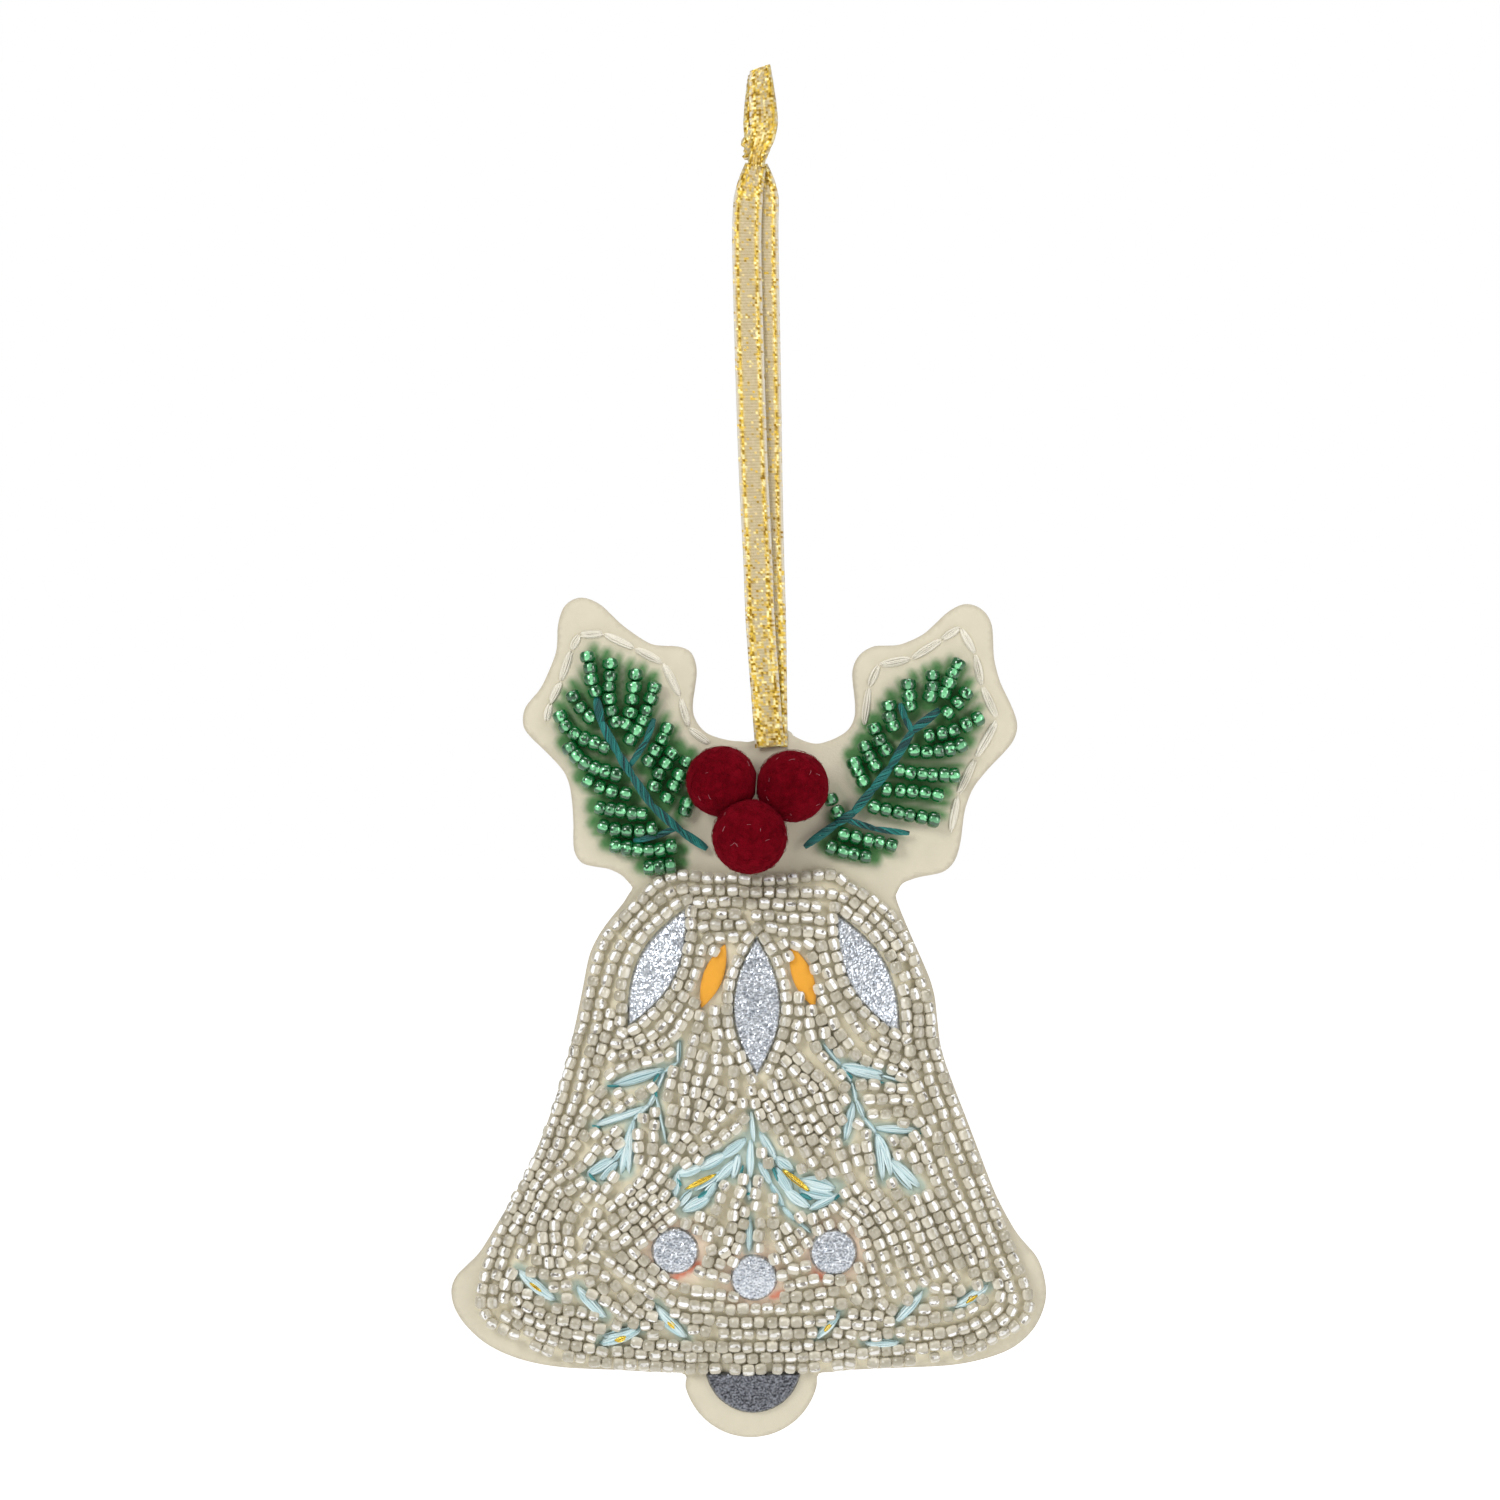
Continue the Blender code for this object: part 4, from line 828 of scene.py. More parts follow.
def tubes(name, paths, radii, material, body, slot, sides=6, **values):
    """A thread along each path: rings of points about its steps, with closed pointed ends. It
    keeps at each point the turn round the thread and the run along it, for the ply's twist."""
    paths = np.asarray(paths, float)
    count, steps = paths.shape[:2]
    along = unit(np.gradient(paths, axis=1))
    up = np.zeros_like(paths)
    up[..., 1] = -1
    side = unit(np.cross(along, up) + 1e-9)
    up = np.cross(side, along)
    turn = (np.arange(sides) / sides + 0.5) * 2 * math.pi
    radii = np.broadcast_to(radii, (count, steps))[..., None, None]
    ring = np.cos(turn)[:, None] * up[..., None, :] + np.sin(turn)[:, None] * side[..., None, :]
    rings = paths[..., None, :] + radii * ring
    points = np.concatenate([
        rings.reshape(count, -1, 3),
        paths[:, :1] - along[:, :1] * radii[:, :1, 0] * 0.8,
        paths[:, -1:] + along[:, -1:] * radii[:, -1:, 0] * 0.8,
    ], axis=1)
    size = points.shape[1]
    stretches = np.linalg.norm(np.diff(paths, axis=1), axis=2)
    run = np.concatenate([np.zeros((count, 1)), np.cumsum(stretches, axis=1)], 1)
    wind = np.concatenate([np.repeat(run, sides, axis=1), run[:, :1], run[:, -1:]], axis=1)
    around = np.concatenate([np.tile(np.arange(sides) / sides, (count, steps)), np.zeros((count, 2))], axis=1)
    values = {key: np.repeat(np.asarray(v), size) for key, v in values.items()}
    return piece(name, points.reshape(-1, 3), ring_faces(steps, sides, count), material, body, slot,
                 run=wind.ravel(), around=around.ravel(), **values)


# Each ball's x, z and radius, and how far it stands forward of the others
balls = {
    "left": (-6.2, -105.6, 5.95, 0.0), "right": (5.8, -106.4, 6.1, 0.0),
    "bottom": (-1.4, -114.9, 6.3, 3.2),
}
ball_depth, felt_plane = 5.2, -0.95


def unit_ball(levels):
    """The corners and triangles of a ball of radius 1, from an icosahedron cut finer and finer."""
    bpy.ops.mesh.primitive_ico_sphere_add(subdivisions=levels, radius=1.0)
    made = bpy.context.active_object
    points = np.array([v.co for v in made.data.vertices])
    triangles = np.array([tuple(p.vertices) for p in made.data.polygons])
    bpy.data.objects.remove(made)
    return points, triangles


centres = {
    name: (np.array((x, felt_plane - ball_depth * 0.86 - proud, z)), radius)
    for name, (x, z, radius, proud) in balls.items()
}


def squeezed(name, points):
    """Points of a ball pushed back from the plane of the felt and from the planes halfway through
    its overlaps with the other balls."""
    centre, radius = centres[name]
    points = points.copy()
    points[:, 1] = np.minimum(points[:, 1], felt_plane)
    for other, (place, size) in centres.items():
        if other != name:
            between = unit(place - centre)
            limit = (np.linalg.norm(place - centre) + radius - size) / 2 - 0.12
            over = np.maximum((points - centre) @ between - limit, 0)
            points -= over[:, None] * between
    return points


hairs, steps, lint_hairs = 900, 7, 14
points, triangles = unit_ball(6)
for seed, (name, (centre, radius)) in enumerate(centres.items()):
    bumps = 1 + 0.018 * lump(points, 0.45, seed) + 0.008 * lump(points, 0.12, seed + 9)
    fuzz = 1 + 0.007 * (rng.random(len(points)) - 0.3)
    wool = centre + points * (radius, ball_depth, radius) * (bumps * fuzz)[:, None]
    ball = piece(f"pompom_{name}_wool", squeezed(name, wool), [triangles], crimson, "ornament",
                 "red_wool_felt")
    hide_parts(f"pompom_{name}")
    start = unit(rng.normal(size=(hairs, 3)) - (0, 0.6, 0))
    drift = rng.normal(size=(hairs, 3))
    drift = unit(drift - (drift * start).sum(1, keepdims=True) * start)
    curl = np.cross(start, drift)
    reach = rng.uniform(0.12, 0.4, hairs)[:, None]
    t = np.linspace(0, 1, steps)[:, None, None]
    bend = rng.uniform(-0.12, 0.12, hairs)[:, None]
    way = unit(start + t * reach * drift + np.sin(t * 3) * bend * curl)
    height = 0.05 * rng.random(hairs)[:, None]
    loft = 1.0 + height * np.sin(t * math.pi * rng.uniform(0.5, 1.0, hairs)[:, None])
    hair = centre + way * loft * (radius, ball_depth, radius)
    hair = squeezed(name, hair.reshape(-1, 3)).reshape(steps, hairs, 3).transpose(1, 0, 2)
    tubes(f"pompom_{name}_fibres", hair, np.linspace(0.035, 0.012, steps), crimson, "ornament",
          "red_wool_felt", sides=3)
    tubes(f"pompom_{name}_lint", hair[:lint_hairs], 0.022, pale_lint, "ornament", "red_wool_felt",
          sides=3)

# ---------------------------------------------------------------------------------------------
# Seed beads. Each is a short barrel of glass with a hole lined in silver, which shows through the
# glass as a bright bar along the bead; here that bar is a painted highlight in the bead's colour,
# and the light out through the glass is painted too. They are strung on thread and sewn down in rows.


def seed_beads(name, places, along, out, lengths, widths, material, slot, shades):
    """One barrel for each place: rings about the hole's axis, closed by a cone that dips into the
    hole at each end. The value core is 1 on the line that faces out, where the lining's painted
    highlight lies, 0 beside it, and falls to -1 at the flanks and the ends, where painted light
    comes out through the glass."""
    sides = 12
    profile = np.array((
        (-0.5, 0.42), (-0.45, 0.76), (-0.3, 0.95), (0, 1), (0.3, 0.95), (0.45, 0.76), (0.5, 0.42),
    ))
    turn = np.arange(sides) / sides * 2 * math.pi
    x = np.repeat(profile[:, 0], sides)
    wide = np.repeat(profile[:, 1], sides)
    y, z = wide * np.tile(np.sin(turn), len(profile)), wide * np.tile(np.cos(turn), len(profile))
    template = np.vstack([np.column_stack([x, y, z]), (-0.4, 0, 0), (0.4, 0, 0)])
    bar = (np.arange(sides) == 0) * 1.0
    flank = np.clip(1 - np.cos(turn) / 0.75, 0, 1)
    mouths = np.array((1, 0.3, 0, 0, 0, 0.3, 1))[:, None]
    shown = np.outer((0, 0.8, 1, 1, 1, 0.8, 0), bar)
    core = np.append(shown - np.maximum(flank, mouths * (1 - 0.9 * bar)), (-1.0, -1.0))
    across = unit(np.cross(out, along))
    out = np.cross(along, across)
    half = widths[:, None, None] / 2
    points = (places[:, None] + template[:, :1] * lengths[:, None, None] * along[:, None]
              + template[:, 1:2] * half * across[:, None] + template[:, 2:] * half * out[:, None])
    faces = ring_faces(len(profile), sides, len(places))
    return piece(name, points.reshape(-1, 3), faces, material, "ornament", slot,
                 core=np.tile(core, len(places)), shade=np.repeat(shades, len(template)))


def turned(ways, angles):
    """Directions on the felt, each turned by its own angle."""
    c, s = np.cos(angles), np.sin(angles)
    return np.column_stack([ways[:, 0] * c - ways[:, 1] * s, ways[:, 0] * s + ways[:, 1] * c])


def lined_glass(name, rim_dark, rim_light, glow, lining_dark_reflection, lining_highlight, metal):
    """Glass over a silvered hole, as an opaque coat under a hard gloss: rim colours, the glow's at the
    flanks and ends where core is below 0, and on a narrow bar where core is near 1 the lining's, as
    strong as the bead's shade value, with dark breaks. The glow is painted light out through the
    glass; the lining's bar is a painted reflection: a painted highlight with painted dark breaks."""
    material, tree, shader = surface(name, roughness=0.2, coat_weight=1.0, coat_roughness=0.04)
    core, shade = value_of(tree, "core"), value_of(tree, "shade")
    flank = product(tree, core, -1.0, clamped=True)
    # Rim colours, and at the flanks and ends the glow: painted light out through the glass
    rim = blend_colours(tree, flank, blend_colours(tree, shade, rim_dark, rim_light), glow)
    # The lining's bar: a painted highlight broken at random by painted dark reflections
    lining = blend_colours(tree, ramp(tree, grain(tree, 0.9, 1.0), 0.38, 0.48), lining_dark_reflection, lining_highlight)
    shown = product(tree, ramp(tree, core, 0.2, 0.5), ramp(tree, shade, 0.1, 0.7))
    tree.links.new(blend_colours(tree, shown, rim, lining), shader.inputs["Base Color"])
    tree.links.new(product(tree, shown, metal), shader.inputs["Metallic"])
    bump(tree, shader, grain(tree, 0.5, 1.0), 0.4, 0.12)
    return material


# Emerald glass: the glow is painted light out through the glass, and the lining's colours paint its bar, a
# painted highlight with painted dark breaks
emerald_glass = lined_glass("emerald_glass", (0.0, 0.03, 0.006), (0.0, 0.1, 0.02), (0.0, 0.14, 0.02),
                            (0.0, 0.05, 0.01), (0.22, 0.7, 0.33), 0.3)
leaf_bead_length, leaf_bead_width = 2.05, 2.8
for side, lines in leaf_strands.items():
    paths = [curve_through(line, leaf_bead_length - 0.05) for line in lines]
    places = np.vstack([(path[1:] + path[:-1]) / 2 for path in paths])
    ways = np.vstack([unit(path[1:] - path[:-1]) for path in paths])
    n = len(places)
    ways = turned(ways, rng.normal(0, 0.07, n))
    out = outward(places)
    along = unit(np.column_stack([ways[:, 0], np.zeros(n), ways[:, 1]]))
    along = unit(along - (along * out).sum(1, keepdims=True) * out + out * rng.normal(0, 0.08, (n, 1)))
    widths = leaf_bead_width * rng.uniform(0.93, 1.06, n)
    places = on_felt(places + rng.normal(0, 0.07, (n, 2)), widths / 2 + rng.uniform(0, 0.25, n))
    lengths = leaf_bead_length * rng.uniform(0.92, 1.06, n)
    beads = seed_beads(f"{side}_leaf_beads", places, along, out, lengths, widths, emerald_glass,
                       "green_beads", rng.uniform(0.3, 1.0, n))
    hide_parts(f"{side}_leaf_bead_strands")

# ---------------------------------------------------------------------------------------------
# Embroidery floss. A stitch is a bundle of loosely twisted strands that comes up through the felt,
# arches over it and goes down again; teal on the leaves' ribs, ivory round them, pale blue sprigs.

ply_length, plies = 0.9, 2
rope_twist = 1.2


def floss(name, dark, light, gleam=0.3):
    """Stranded floss: a colour between two shades by strand, with the ply's twist and fine fibres
    along it as bump."""
    material, tree, shader = surface(name, roughness=0.55, sheen_weight=gleam, sheen_roughness=0.3)
    strand = value_of(tree, "strand")
    tree.links.new(blend_colours(tree, strand, dark, light), shader.inputs["Base Color"])
    angle = product(tree, value_of(tree, "run"), 1 / ply_length)
    wound = add_node(tree, "Math", {0: angle, 1: value_of(tree, "around")}, operation="ADD").outputs[0]
    phase = product(tree, wound, 2 * math.pi * plies)
    ply = add_node(tree, "Math", {0: phase}, operation="SINE").outputs[0]
    bump(tree, shader, ply, 0.35, 0.05)
    return material


def twisted(name, stitches, strand_width, lift, arch, material, slot):
    """Every stitch as a rope: strands that wind round its line on an oval, by the rope's twist in
    radians each millimetre, drawn together at its two ends."""
    t = np.linspace(0, 1, 15)
    paths, tones = [], []
    for x1, z1, x2, z2, width in stitches:
        a, b = np.array((x1, z1)), np.array((x2, z2))
        length = np.linalg.norm(b - a)
        way = (b - a) / length
        a, b = a - 0.4 * way, b + 0.4 * way
        across = np.array((way[1], -way[0]))
        radius = (width - strand_width) / 2 * np.sin(math.pi * np.clip(t, 0.03, 0.97)) ** 0.3
        count = max(int(round(2.6 * (width - strand_width) / strand_width)), 4)
        for k in range(count):
            phase = 2 * math.pi * (k + rng.normal(0, 0.12)) / count + rope_twist * length * t
            flat = a + np.outer(t, b - a) + np.outer(radius * np.sin(phase), across)
            rise = lift + arch * np.sin(math.pi * t) ** 0.5 + 0.6 * radius * (1 + np.cos(phase))
            paths.append(on_felt(flat, rise))
            tones.append(np.clip(0.5 + rng.normal(0, 0.4), 0, 1))
    return tubes(name, paths, strand_width / 2, material, "ornament", slot, strand=tones)


def satin(name, stitches, strand_width, lift, arch, material, slot, fullness=0.7, loose=0.05):
    """Every stitch as strands side by side between its two points. A strand's offset across the
    stitch swells as the sine of its way along to a small power, and it rises in an arch."""
    steps = 11
    t = np.linspace(0, 1, steps)
    paths, tones, radii = [], [], []
    for x1, z1, x2, z2, width in stitches:
        a, b = np.array((x1, z1)), np.array((x2, z2))
        way = (b - a) / np.linalg.norm(b - a)
        across = np.array((way[1], -way[0]))
        count = max(int(round(width / strand_width)), 2)
        for layer in (0, 1):
            number = count - layer
            for s in (np.arange(number) - (number - 1) / 2) / max(count - 1, 1) * 2:
                swell = np.sin(math.pi * np.clip(t, 0.02, 0.98)) ** fullness
                drift = rng.normal(0, loose) + rng.normal(0, loose) * t
                offset = s * (width - strand_width) / 2 * swell + drift
                flat = a + np.outer(t, b - a) + np.outer(offset, across)
                flat += np.outer(rng.uniform(-0.25, 0.25) * (1 - 2 * t), way)
                rise = lift + arch * np.sin(math.pi * t) ** 0.5 * (1 - 0.4 * s * s)
                dip = 0.35 * (np.abs(t - 0.5) > 0.49)
                rise = rise + layer * strand_width * 0.6 + rng.uniform(-0.05, 0.05) - dip
                paths.append(on_felt(flat, rise))
                # The under layer's strands are painted darker than the upper ones: painted shade beneath them
                tones.append(np.clip(0.55 + 0.2 * layer + rng.normal(0, 0.22), 0, 1))
                radii.append(strand_width / 2 * np.interp(t, (0, 0.08, 0.92, 1), (0.6, 1.05, 1.05, 0.6)))
    return tubes(name, paths, np.array(radii), material, "ornament", slot, strand=tones)


def chained(points, width, gap=0.0):
    """Stitches from each point to the next, drawn in by a share of their length at either end."""
    pairs = zip(np.array(points), np.array(points[1:]))
    return [(*(a + gap * (b - a)), *(b - gap * (b - a)), width) for a, b in pairs]


teal_floss = floss("teal_floss", (0.0, 0.04, 0.04), (0.005, 0.19, 0.165))
ivory_floss = floss("ivory_floss", (0.6, 0.56, 0.45), (0.8, 0.76, 0.65))
deep_floss = floss("deep_teal_floss", (0.01, 0.13, 0.14), (0.06, 0.32, 0.33))
blue_floss = floss("blue_floss", (0.25, 0.46, 0.5), (0.72, 0.85, 0.86), 0.4)
ribs = {
    "left": (
        ((-27.4, -91.8), (-26.7, -95.4), (-23.8, -100.8), (-21.4, -104.7), (-18, -109.8), (-13, -114.2),
         (-9, -117.1)),
        ((-21.6, -102.7), (-19.2, -98.9), (-18, -95.4)),
        ((-13.9, -113.6), (-17, -114.9), (-20.7, -115.6)),
    ),
    "right": (
        ((8.3, -116.8), (13.4, -112.9), (16.3, -111), (19.6, -107.1), (22.6, -103.4), (26.4, -97.1),
         (30.6, -93.7)),
        ((26.4, -97.1), (25.2, -94.9), (24.5, -92.8)),
        ((15, -112.2), (19.9, -113.7), (25.3, -114.4)),
    ),
}
for side, lines in ribs.items():
    stitches = [s for line in lines for s in chained(line, 1.6 if len(line) > 4 else 1.2)]
    rib = twisted(f"{side}_leaf_rib_floss", stitches, 0.34, 1.3, 0.6, teal_floss, "teal_floss")
    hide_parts(f"{side}_leaf_midrib")
for side, line in edge_stitches.items():
    drawn = satin(f"{side}_leaf_edge_floss", chained(line, 1.5, 0.03), 0.3, -0.25, 0.25, ivory_floss,
                  "ivory_floss", 0.45)
    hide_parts(f"{side}_leaf_outline_stitches")

sprigs = satin("sprig_floss", sprig_stitches, 0.36, 0.0, 0.75, blue_floss, "blue_floss")
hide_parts("centre_sprig_stem", "centre_sprig_left_petal", "centre_sprig_right_petal", "left_sprig",
            "right_sprig")
# Short teal strokes that shade the petals' ends and forks
teal_strokes = (
    (-10.2, -176.2, -8.4, -174.9, 0.8), (-13.7, -173.0, -13.1, -174.1, 0.5),
    (-28.5, -172.4, -27.4, -173.7, 0.5),
    (-28.0, -164.3, -26.7, -164.6, 0.5), (-25.3, -157.5, -23.5, -157.5, 0.5),
    (-17.7, -156.8, -16.7, -155.2, 0.5),
    (-3.3, -173.0, -2.6, -170.8, 0.6), (-1.8, -175.6, -1.1, -175.2, 0.5),
    (-17.4, -157.8, -17.0, -159.1, 0.5),
    (2.5, -171.0, 3.4, -173.3, 0.6), (7.2, -175.6, 9.0, -176.4, 0.7), (13.0, -176.5, 14.0, -175.6, 0.5),
    (21.8, -173.4, 22.6, -174.7, 0.5), (27.4, -165.7, 25.9, -165.9, 0.5), (21.2, -156.9, 19.3, -156.7, 0.5),
    (5.9, -172.1, 4.6, -172.6, 0.5), (14.6, -154.9, 16.0, -155.9, 0.5),
)
satin("teal_shading_floss", teal_strokes, 0.25, 0.7, 0.25, deep_floss, "teal_floss")
for number, stitches in hem_stitches.items():
    leaf = satin(f"hem_leaf_{number}_floss", stitches, 0.36, 0.2, 0.9, blue_floss, "blue_floss")
    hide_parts(f"hem_leaf_{number}")

# Gold metallic thread laid over the floss in a few short turns.
gold_thread, gold_tree, gold_shader = surface("gold_thread", metallic=1.0, roughness=0.25)
gold = blend_colours(gold_tree, value_of(gold_tree, "strand"), (0.42, 0.25, 0.02), (0.95, 0.7, 0.12))
gold_tree.links.new(gold, gold_shader.inputs["Base Color"])
bump(gold_tree, gold_shader, grain(gold_tree, 0.3, 1.0), 0.8, 0.1)
gold_turns = {
    "left_petal": (-12.3, -174.7, -7.2, -172.2, 1.0), "right_petal": (4.2, -171.4, 8.7, -175.0, 0.9),
    "hem_1": (-38.4, -190.9, -36.7, -192.0, 0.9), "hem_3": (-24.4, -200.6, -22.4, -199.8, 1.2),
    "hem_4": (-15.4, -197.0, -14.1, -198.3, 0.9), "hem_5": (37.0, -192.7, 35.2, -193.8, 0.9),
    "hem_7": (12.4, -197.5, 11.2, -198.9, 0.9),
}
for name, stitch in gold_turns.items():
    gold = satin(f"gold_{name}", [stitch], 0.26, 1.15, 0.2, gold_thread, "gold_thread")
    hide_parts(f"gold_thread_{name}")

# ---------------------------------------------------------------------------------------------
# Glitter cloth and orange felt, cut to shape and sewn on. The glitter is a crust of tiny facets,
# each tilted its own way; the clapper's is darker.


def pointed_leaf(tip, other, width, spacing):
    """A pointed leaf between two tips, whose sides are half sine waves."""
    a, b = np.array(tip), np.array(other)
    way = (b - a) / np.linalg.norm(b - a)
    count = int(np.linalg.norm(b - a) / spacing)
    t = np.arange(1, count) / count
    side = np.outer(np.sin(math.pi * t) ** 0.9, (way[1], -way[0])) * width / 2
    along = a + np.outer(t, b - a)
    return np.vstack([a, along + side, b, (along - side)[::-1]])


def glitter_cloth(name, dark, light):
    """A crust of metal flecks, each with its own shade between two."""
    material, tree, shader = surface(name, metallic=0.85, roughness=0.3)
    tree.links.new(blend_colours(tree, value_of(tree, "fleck"), dark, light), shader.inputs["Base Color"])
    return material


silver_glitter = glitter_cloth("silver_glitter", (0.28, 0.31, 0.36), (0.8, 0.83, 0.87))
dark_glitter = glitter_cloth("dark_glitter", (0.025, 0.027, 0.033), (0.25, 0.26, 0.29))


crust_lift = 0.2


def glittered(name, outline, material, slot, node):
    """Cloth with its face roughened at random by up to a tenth of a millimetre, in flat facets."""

    def crust(points):
        away = np.clip(distance_to(points, outline) / 0.4, 0, 1)
        rough = 0.12 * (rng.random(len(points)) - 0.5)
        return front_face - dome(points) - crust_lift - 0.75 * away**0.5 + rough

    cloth = cut_piece(name, outline, 0.27, crust, 0.6, material, slot, smooth=False, round_edge=0.05,
                      fleck=lambda p: np.clip(rng.beta(1.0, 1.0, len(p)), 0, 1))
    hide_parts(node)


for side, (tip, other, width) in marquises.items():
    glittered(f"glitter_marquise_{side}_cloth", pointed_leaf(tip, other, width, 0.3), silver_glitter,
              "silver_glitter_cloth", f"glitter_marquise_{side}")


def round_outline(centre, radius, count=84):
    """So many points round a circle."""
    turn = np.arange(count) * 2 * math.pi / count
    return np.array(centre) + radius * np.column_stack([np.cos(turn), np.sin(turn)])


for side, centre in discs.items():
    glittered(f"glitter_disc_{side}_cloth", round_outline(centre, disc_radius), silver_glitter,
              "silver_glitter_cloth", f"glitter_disc_{side}")
clapper_middle, clapper_radius, clapper_top = np.array((-0.8, -205.4)), 8.2, -206.4
clapper = round_outline(clapper_middle, clapper_radius, 170)
clapper = clapper[clapper[:, 1] < clapper_top]
away = clapper - clapper_middle
clapper = clapper[np.argsort(np.arctan2(away[:, 1], away[:, 0]))]
top_edge = np.linspace(clapper[-1], clapper[0], 50)[1:-1]
glittered("clapper_glitter_cloth", np.vstack([clapper, top_edge]), dark_glitter, "dark_glitter_cloth",
          "clapper_glitter")

orange_felt = wool_felt("orange_felt", (0.82, 0.37, 0.02))
orange_leaves = {"left": ((-5.6, -133.3), (-9.6, -144.0), 3.3), "right": ((5.6, -133.6), (9.6, -144.0), 3.3)}
for side, (tip, other, width) in orange_leaves.items():
    leaf = cut_piece(f"orange_leaf_{side}_felt", pointed_leaf(tip, other, width, 0.4), 0.4,
                     lambda p: front_face - dome(p) - 0.75 + 0.05 * rng.random(len(p)), 0.6, orange_felt,
                     "orange_felt")
    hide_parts(f"orange_leaf_{side}")

# ---------------------------------------------------------------------------------------------
# The silver beading. Rows follow the sides, the hem and the crown, go round the glitter shapes and
# lean with the sprigs between them. Each row is sewn beside the last, a bead's width away.
# Silver glass: the glow is painted light out through the glass, and the white lining colour paints its bar, a
# painted highlight with painted dark breaks
silver_glass = lined_glass("silver_glass", (0.37, 0.335, 0.25), (0.53, 0.485, 0.38), (0.84, 0.795, 0.675),
                           (0.22, 0.2, 0.17), (1.0, 1.0, 1.0), 0.1)
bead_length, bead_width = 2.0, 2.05
bead_pitch, row_pitch = 2.08, 2.08
least_step, longest_half_row, seed_tries = 0.85, 80, 6000
# Between these heights the rows lie nearer the field's edge
border_heights = (-200, -190, -150, -140)

# Short lines that say which way the rows run at places between the motifs
leanings = np.array((
    (-21.1, -153.9, -15.6, -152.2), (-24.3, -160.8, -18.9, -157.4), (-26.5, -167.8, -24, -165.2),
    (-19.4, -162.7, -18.9, -169.5), (-14.1, -154.4, -15.6, -160.8), (-11.9, -156.1, -11.6, -163.5),
    (-7, -156.7, -8.2, -159.3), (-3.1, -154, -2.9, -160.5), (-10, -166.4, -4.8, -162),
    (-12.1, -171, -4, -165.5),
    (-16.5, -171.7, -14.6, -168.8), (-27.5, -177.8, -25.7, -174.3), (-24.3, -179.5, -19.4, -175.8),
    (-21.6, -182.1, -18.7, -179.7), (-32.6, -174.6, -30.3, -173.4), (-34.7, -182.2, -34.5, -186),
    (-23.1, -188.2, -18.5, -192.1), (-26.5, -189.9, -21.6, -194.5), (-35.5, -190.2, -28.9, -189.9),
    (0.9, -158.8, 4.1, -165.9), (5.4, -152.5, 9.5, -156.6), (8.8, -162.7, 10.9, -166.3),
    (11.7, -159.3, 15.6, -170.7), (18.4, -157.8, 21.4, -157.8), (18.5, -161.7, 22.4, -161.7),
    (18.2, -167.6, 19, -173.9), (16.5, -176.5, 18.7, -178.5), (15.6, -173.4, 19, -179.4),
    (-2.9, -176.8, -4.1, -181.6), (-6.6, -176.8, -8.3, -181.9), (0.7, -179, 0.5, -181.6),
    (3.9, -180.4, 6.8, -185.8), (18, -182.8, 20.4, -191.3), (-10, -124.6, 9, -124.6),
    (-10, -130, -4, -129.6),
    (4, -129.6, 10, -130), (-9, -193.4, 8, -193.4), (-20, -199, 20, -199), (-30, -202.2, -20, -203.3),
    (22, -203.0, 31, -202.0), (-9, -190.5, -5.5, -191.5), (4.5, -191.8, 9, -190.6),
))


def row_guides():
    """Points with a doubled direction angle each: along the field's edge, round the marquises and
    on the leanings. The angle is doubled because a row has no front or back end."""
    guides = []
    border = curve_through(beaded_field, 2.0, closed=True)
    for loop in (border, *(pointed_leaf(*m, 2.0) for m in marquises.values())):
        ahead = np.roll(loop, -1, axis=0) - np.roll(loop, 1, axis=0)
        guides.append(np.column_stack([loop, ahead]))
    ends = leanings.reshape(-1, 2, 2)
    for t in (0.1, 0.5, 0.9):
        guides.append(np.column_stack([ends[:, 0] * (1 - t) + ends[:, 1] * t, ends[:, 1] - ends[:, 0]]))
    guides = np.vstack(guides)
    angle = 2 * np.arctan2(guides[:, 3], guides[:, 2])
    return guides[:, :2], np.column_stack([np.cos(angle), np.sin(angle)])


guide_places, guide_angles = row_guides()


def row_direction(point):
    """The rows' direction at a point: the guides' angles weighed by the cube of their nearness."""
    weight = 1 / (((guide_places - point) ** 2).sum(1) + 0.6) ** 1.6
    c, s = weight @ guide_angles
    angle = math.atan2(s, c) / 2
    return np.array((math.cos(angle), math.sin(angle)))


def leaf_gap(points, tip, other, width):
    """How far points lie outside a pointed leaf, roughly: across it less its half width, or from
    its tips beyond them."""
    a, b = np.array(tip), np.array(other)
    length = np.linalg.norm(b - a)
    way = (b - a) / length
    t = (points - a) @ way / length
    side = np.abs((points - a) @ np.array((way[1], -way[0])))
    within = side - width / 2 * np.sin(math.pi * np.clip(t, 0, 1)) ** 0.9
    past = np.minimum(np.linalg.norm(points - a, axis=1), np.linalg.norm(points - b, axis=1))
    return np.where((t > 0) & (t < 1), np.maximum(within, 0), past)


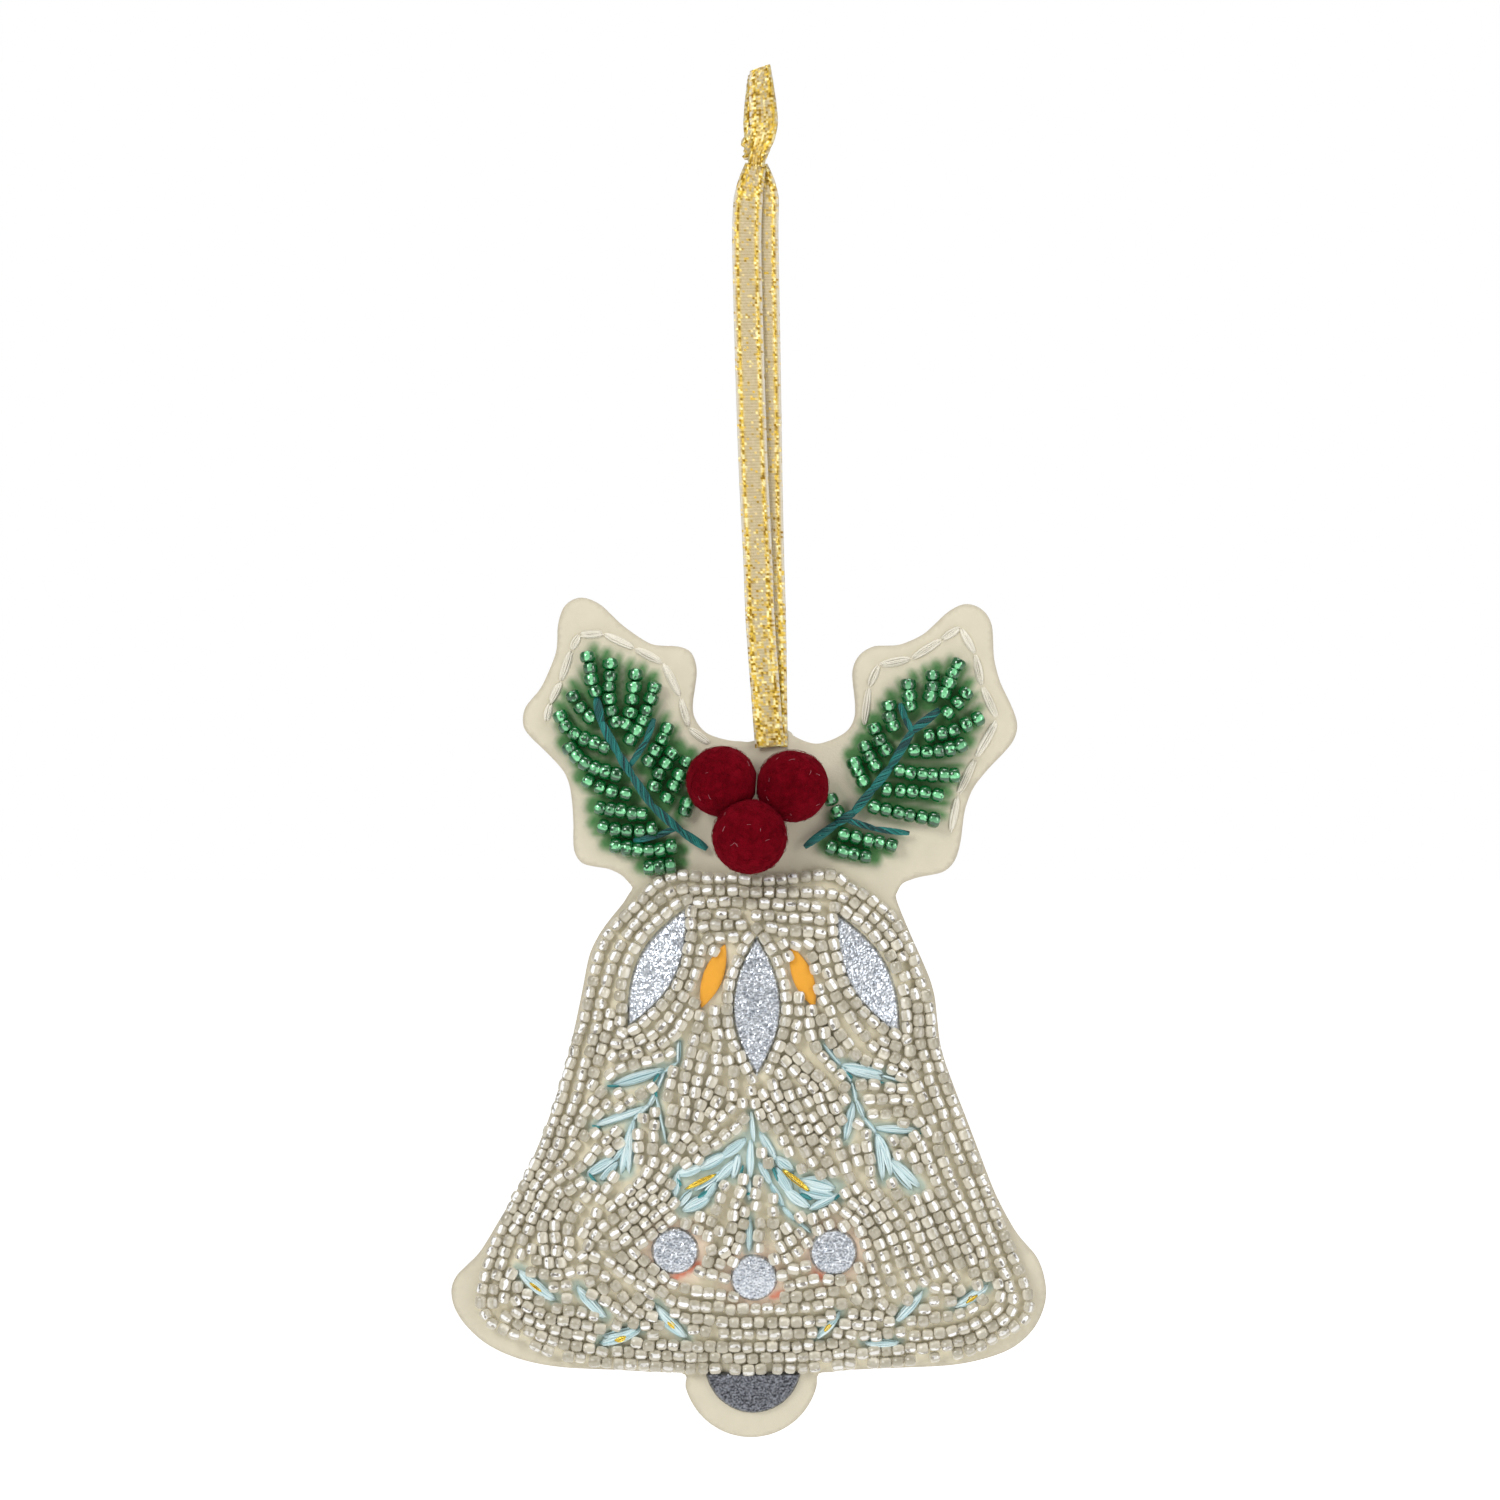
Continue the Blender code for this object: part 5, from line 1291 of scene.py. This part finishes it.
def room_map():
    """On a grid of 0.2 mm, whether a bead's middle may lie there: inside the field by most of its
    half width, and clear of the motifs."""
    step = 0.2
    low, high = beaded_field.min(axis=0), beaded_field.max(axis=0)
    xs, zs = np.arange(low[0], high[0], step), np.arange(low[1], high[1], step)
    points = np.stack(np.meshgrid(xs, zs, indexing="ij"), -1).reshape(-1, 2)
    smooth_field = curve_through(beaded_field, 1.2, closed=True)
    margin = np.interp(points[:, 1], border_heights, (0.8, 0.1, 0.1, 0.8))
    free = (inside_distance(points, smooth_field) > margin) & (inside_distance(points, edge) > 0.8)
    for shape_of in marquises.values():
        free &= leaf_gap(points, *shape_of) > 0.8
    for shape_of in orange_leaves.values():
        free &= leaf_gap(points, *shape_of) > 0.45
    for centre in discs.values():
        free &= np.linalg.norm(points - centre, axis=1) > disc_radius + 0.7
    for x1, z1, x2, z2, width in all_stitches:
        gap = distance_to(points, np.array(((x1, z1), (x2, z2))), closed=False)
        free &= gap > width / 2 * 0.8 + 0.5
    for petal in petals:
        free &= ~is_inside(points, np.array(petal))
    return low, step, free.reshape(len(xs), len(zs))


room_low, room_step, room = room_map()


def has_room(point):
    """Whether a bead's middle may lie at a point, on the map of room."""
    i, j = ((point - room_low) / room_step).astype(int)
    return 0 <= i < room.shape[0] and 0 <= j < room.shape[1] and bool(room[i, j])


def nearest_square(places, point):
    """The squared distance from a point to the nearest place, endless where there is none."""
    return ((places - point) ** 2).sum(1).min(initial=np.inf)


def laid_row(loop, offset):
    """Runs of bead places along a loop, moved sideways by an offset, where there is room."""
    ahead = np.roll(loop, -1, axis=0) - np.roll(loop, 1, axis=0)
    side = unit(np.column_stack([ahead[:, 1], -ahead[:, 0]])) * np.reshape(offset, (-1, 1))
    if is_inside((loop + side)[:1], loop)[0] != (np.mean(offset) < 0):
        side = -side
    line = curve_through(loop + side, bead_pitch, closed=True)
    runs, run = [], []
    for place in [*line, (0, 0)]:
        if has_room(place) and (not run or np.linalg.norm(place - run[-1]) > least_step * bead_pitch):
            run.append(place)
        elif run:
            runs.append(np.array(run))
            run = []
    return runs


def beside_row(row):
    """The places a row's width away on either side of each bead of a row."""
    for place in row:
        way = row_direction(place)
        beside = np.array((-way[1], way[0])) * row_pitch
        yield from (place + beside, place - beside)


def sew_rows(rows, seeds, closeness=0.86):
    """Rows of bead places, added to the given ones. Each row grows both ways from its seed, bead by
    bead along the rows' direction, until it meets the edge, a motif or another row; then places
    beside its beads, a row's width away, become seeds in their turn."""
    rows = list(rows)
    closest = (closeness * row_pitch) ** 2
    taken = np.vstack([np.empty((0, 2)), *rows])
    queue = [*(b for row in rows for b in beside_row(row)), *seeds]
    while queue:
        seed = queue.pop(0)
        if not has_room(seed) or nearest_square(taken, seed) < closest:
            continue
        halves = []
        for sign in (1, -1):
            point, heading, half = seed, row_direction(seed) * sign, []
            while len(half) < longest_half_row:
                ahead = row_direction(point + heading * bead_pitch / 2)
                ahead = ahead if ahead @ heading > 0 else -ahead
                point = point + ahead * bead_pitch
                heading = ahead
                own = np.array([seed, *half] + (halves[0] if halves else []))
                clear = nearest_square(own[:-1], point) > (least_step * bead_pitch) ** 2
                if not (has_room(point) and clear and nearest_square(taken, point) > closest):
                    break
                half.append(point)
            halves.append(half)
        row = np.array([*halves[1][::-1], seed, *halves[0]])
        rows.append(row)
        taken = np.vstack([taken, row])
        queue.extend(beside_row(row))
    return rows


def eased(rows, rounds):
    """The same rows, after beads nearer than a pitch have pushed each other apart, a third of the
    way at a time, wherever there is room."""
    places = np.vstack(rows)
    for _ in range(rounds):
        apart = places[:, None] - places
        far = np.linalg.norm(apart, axis=2) + 9 * np.eye(len(places))
        push = (apart / far[..., None] * np.clip(1.02 * bead_pitch - far, 0, None)[..., None]).sum(1) * 0.3
        moved = places + push
        places = np.where(np.array([has_room(p) for p in moved])[:, None], moved, places)
    return np.split(places, np.cumsum([len(row) for row in rows])[:-1])


field_loop = curve_through(beaded_field, 1.2, closed=True)
inset = np.interp(field_loop[:, 1], border_heights, (0.95, 0.35, 0.35, 0.95))
first_rows = laid_row(field_loop, -inset)
for shape_of in marquises.values():
    first_rows += laid_row(pointed_leaf(*shape_of, 0.8), 0.98)
room_points = np.argwhere(room)
leftovers = room_low + room_points[rng.permutation(len(room_points))[:seed_tries]] * room_step
rows = eased(sew_rows(first_rows, leftovers), 25)
rows = eased(sew_rows(rows, leftovers, 0.8), 10)
places = np.vstack(rows)
ways = np.vstack([
    unit(np.gradient(row, axis=0)) if len(row) > 1 else row_direction(row[0])[None] for row in rows
])
n = len(places)
ways = turned(ways, rng.normal(0, 0.09, n))
places = places + rng.normal(0, 0.05, (n, 2))
out = outward(places)
along = np.column_stack([ways[:, 0], np.zeros(n), ways[:, 1]])
along = unit(along - (along * out).sum(1, keepdims=True) * out)
along = unit(along + out * rng.normal(0, 0.1, (n, 1)))
out = unit(out + np.cross(along, out) * rng.normal(0, 0.3, (n, 1)))
lengths = bead_length * rng.uniform(0.86, 1.08, n)
widths = bead_width * rng.uniform(0.92, 1.05, n)
# Each bead's shade: three in ten show little of the lining's painted highlight. Below, the beads are painted
# darker towards the hem, a painted shade where the dome turns down
shades = np.where(rng.random(n) < 0.3, rng.uniform(0, 0.3, n), rng.uniform(0.5, 1, n))
shades = shades * np.interp(places[:, 1], (-206, -188), (0.45, 1))
heights = on_felt(places, widths / 2 + rng.uniform(0, 0.15, n))
crown_bottom, hem_top, border_width = -135.5, -195.2, 3.7
zones = {"crown": places[:, 1] > crown_bottom, "hem": places[:, 1] < hem_top}
between = ~(zones["crown"] | zones["hem"])
close = inside_distance(places, beaded_field) < border_width
zones["left_border"] = between & close & (places[:, 0] < 0)
zones["right_border"] = between & close & (places[:, 0] > 0)
zones["centre"] = between & ~close
for name, chosen in zones.items():
    beads = seed_beads(f"{name}_beads", heights[chosen], along[chosen], out[chosen], lengths[chosen],
                       widths[chosen], silver_glass, "silver_beads", shades[chosen])
    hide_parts(f"{name}_beading")
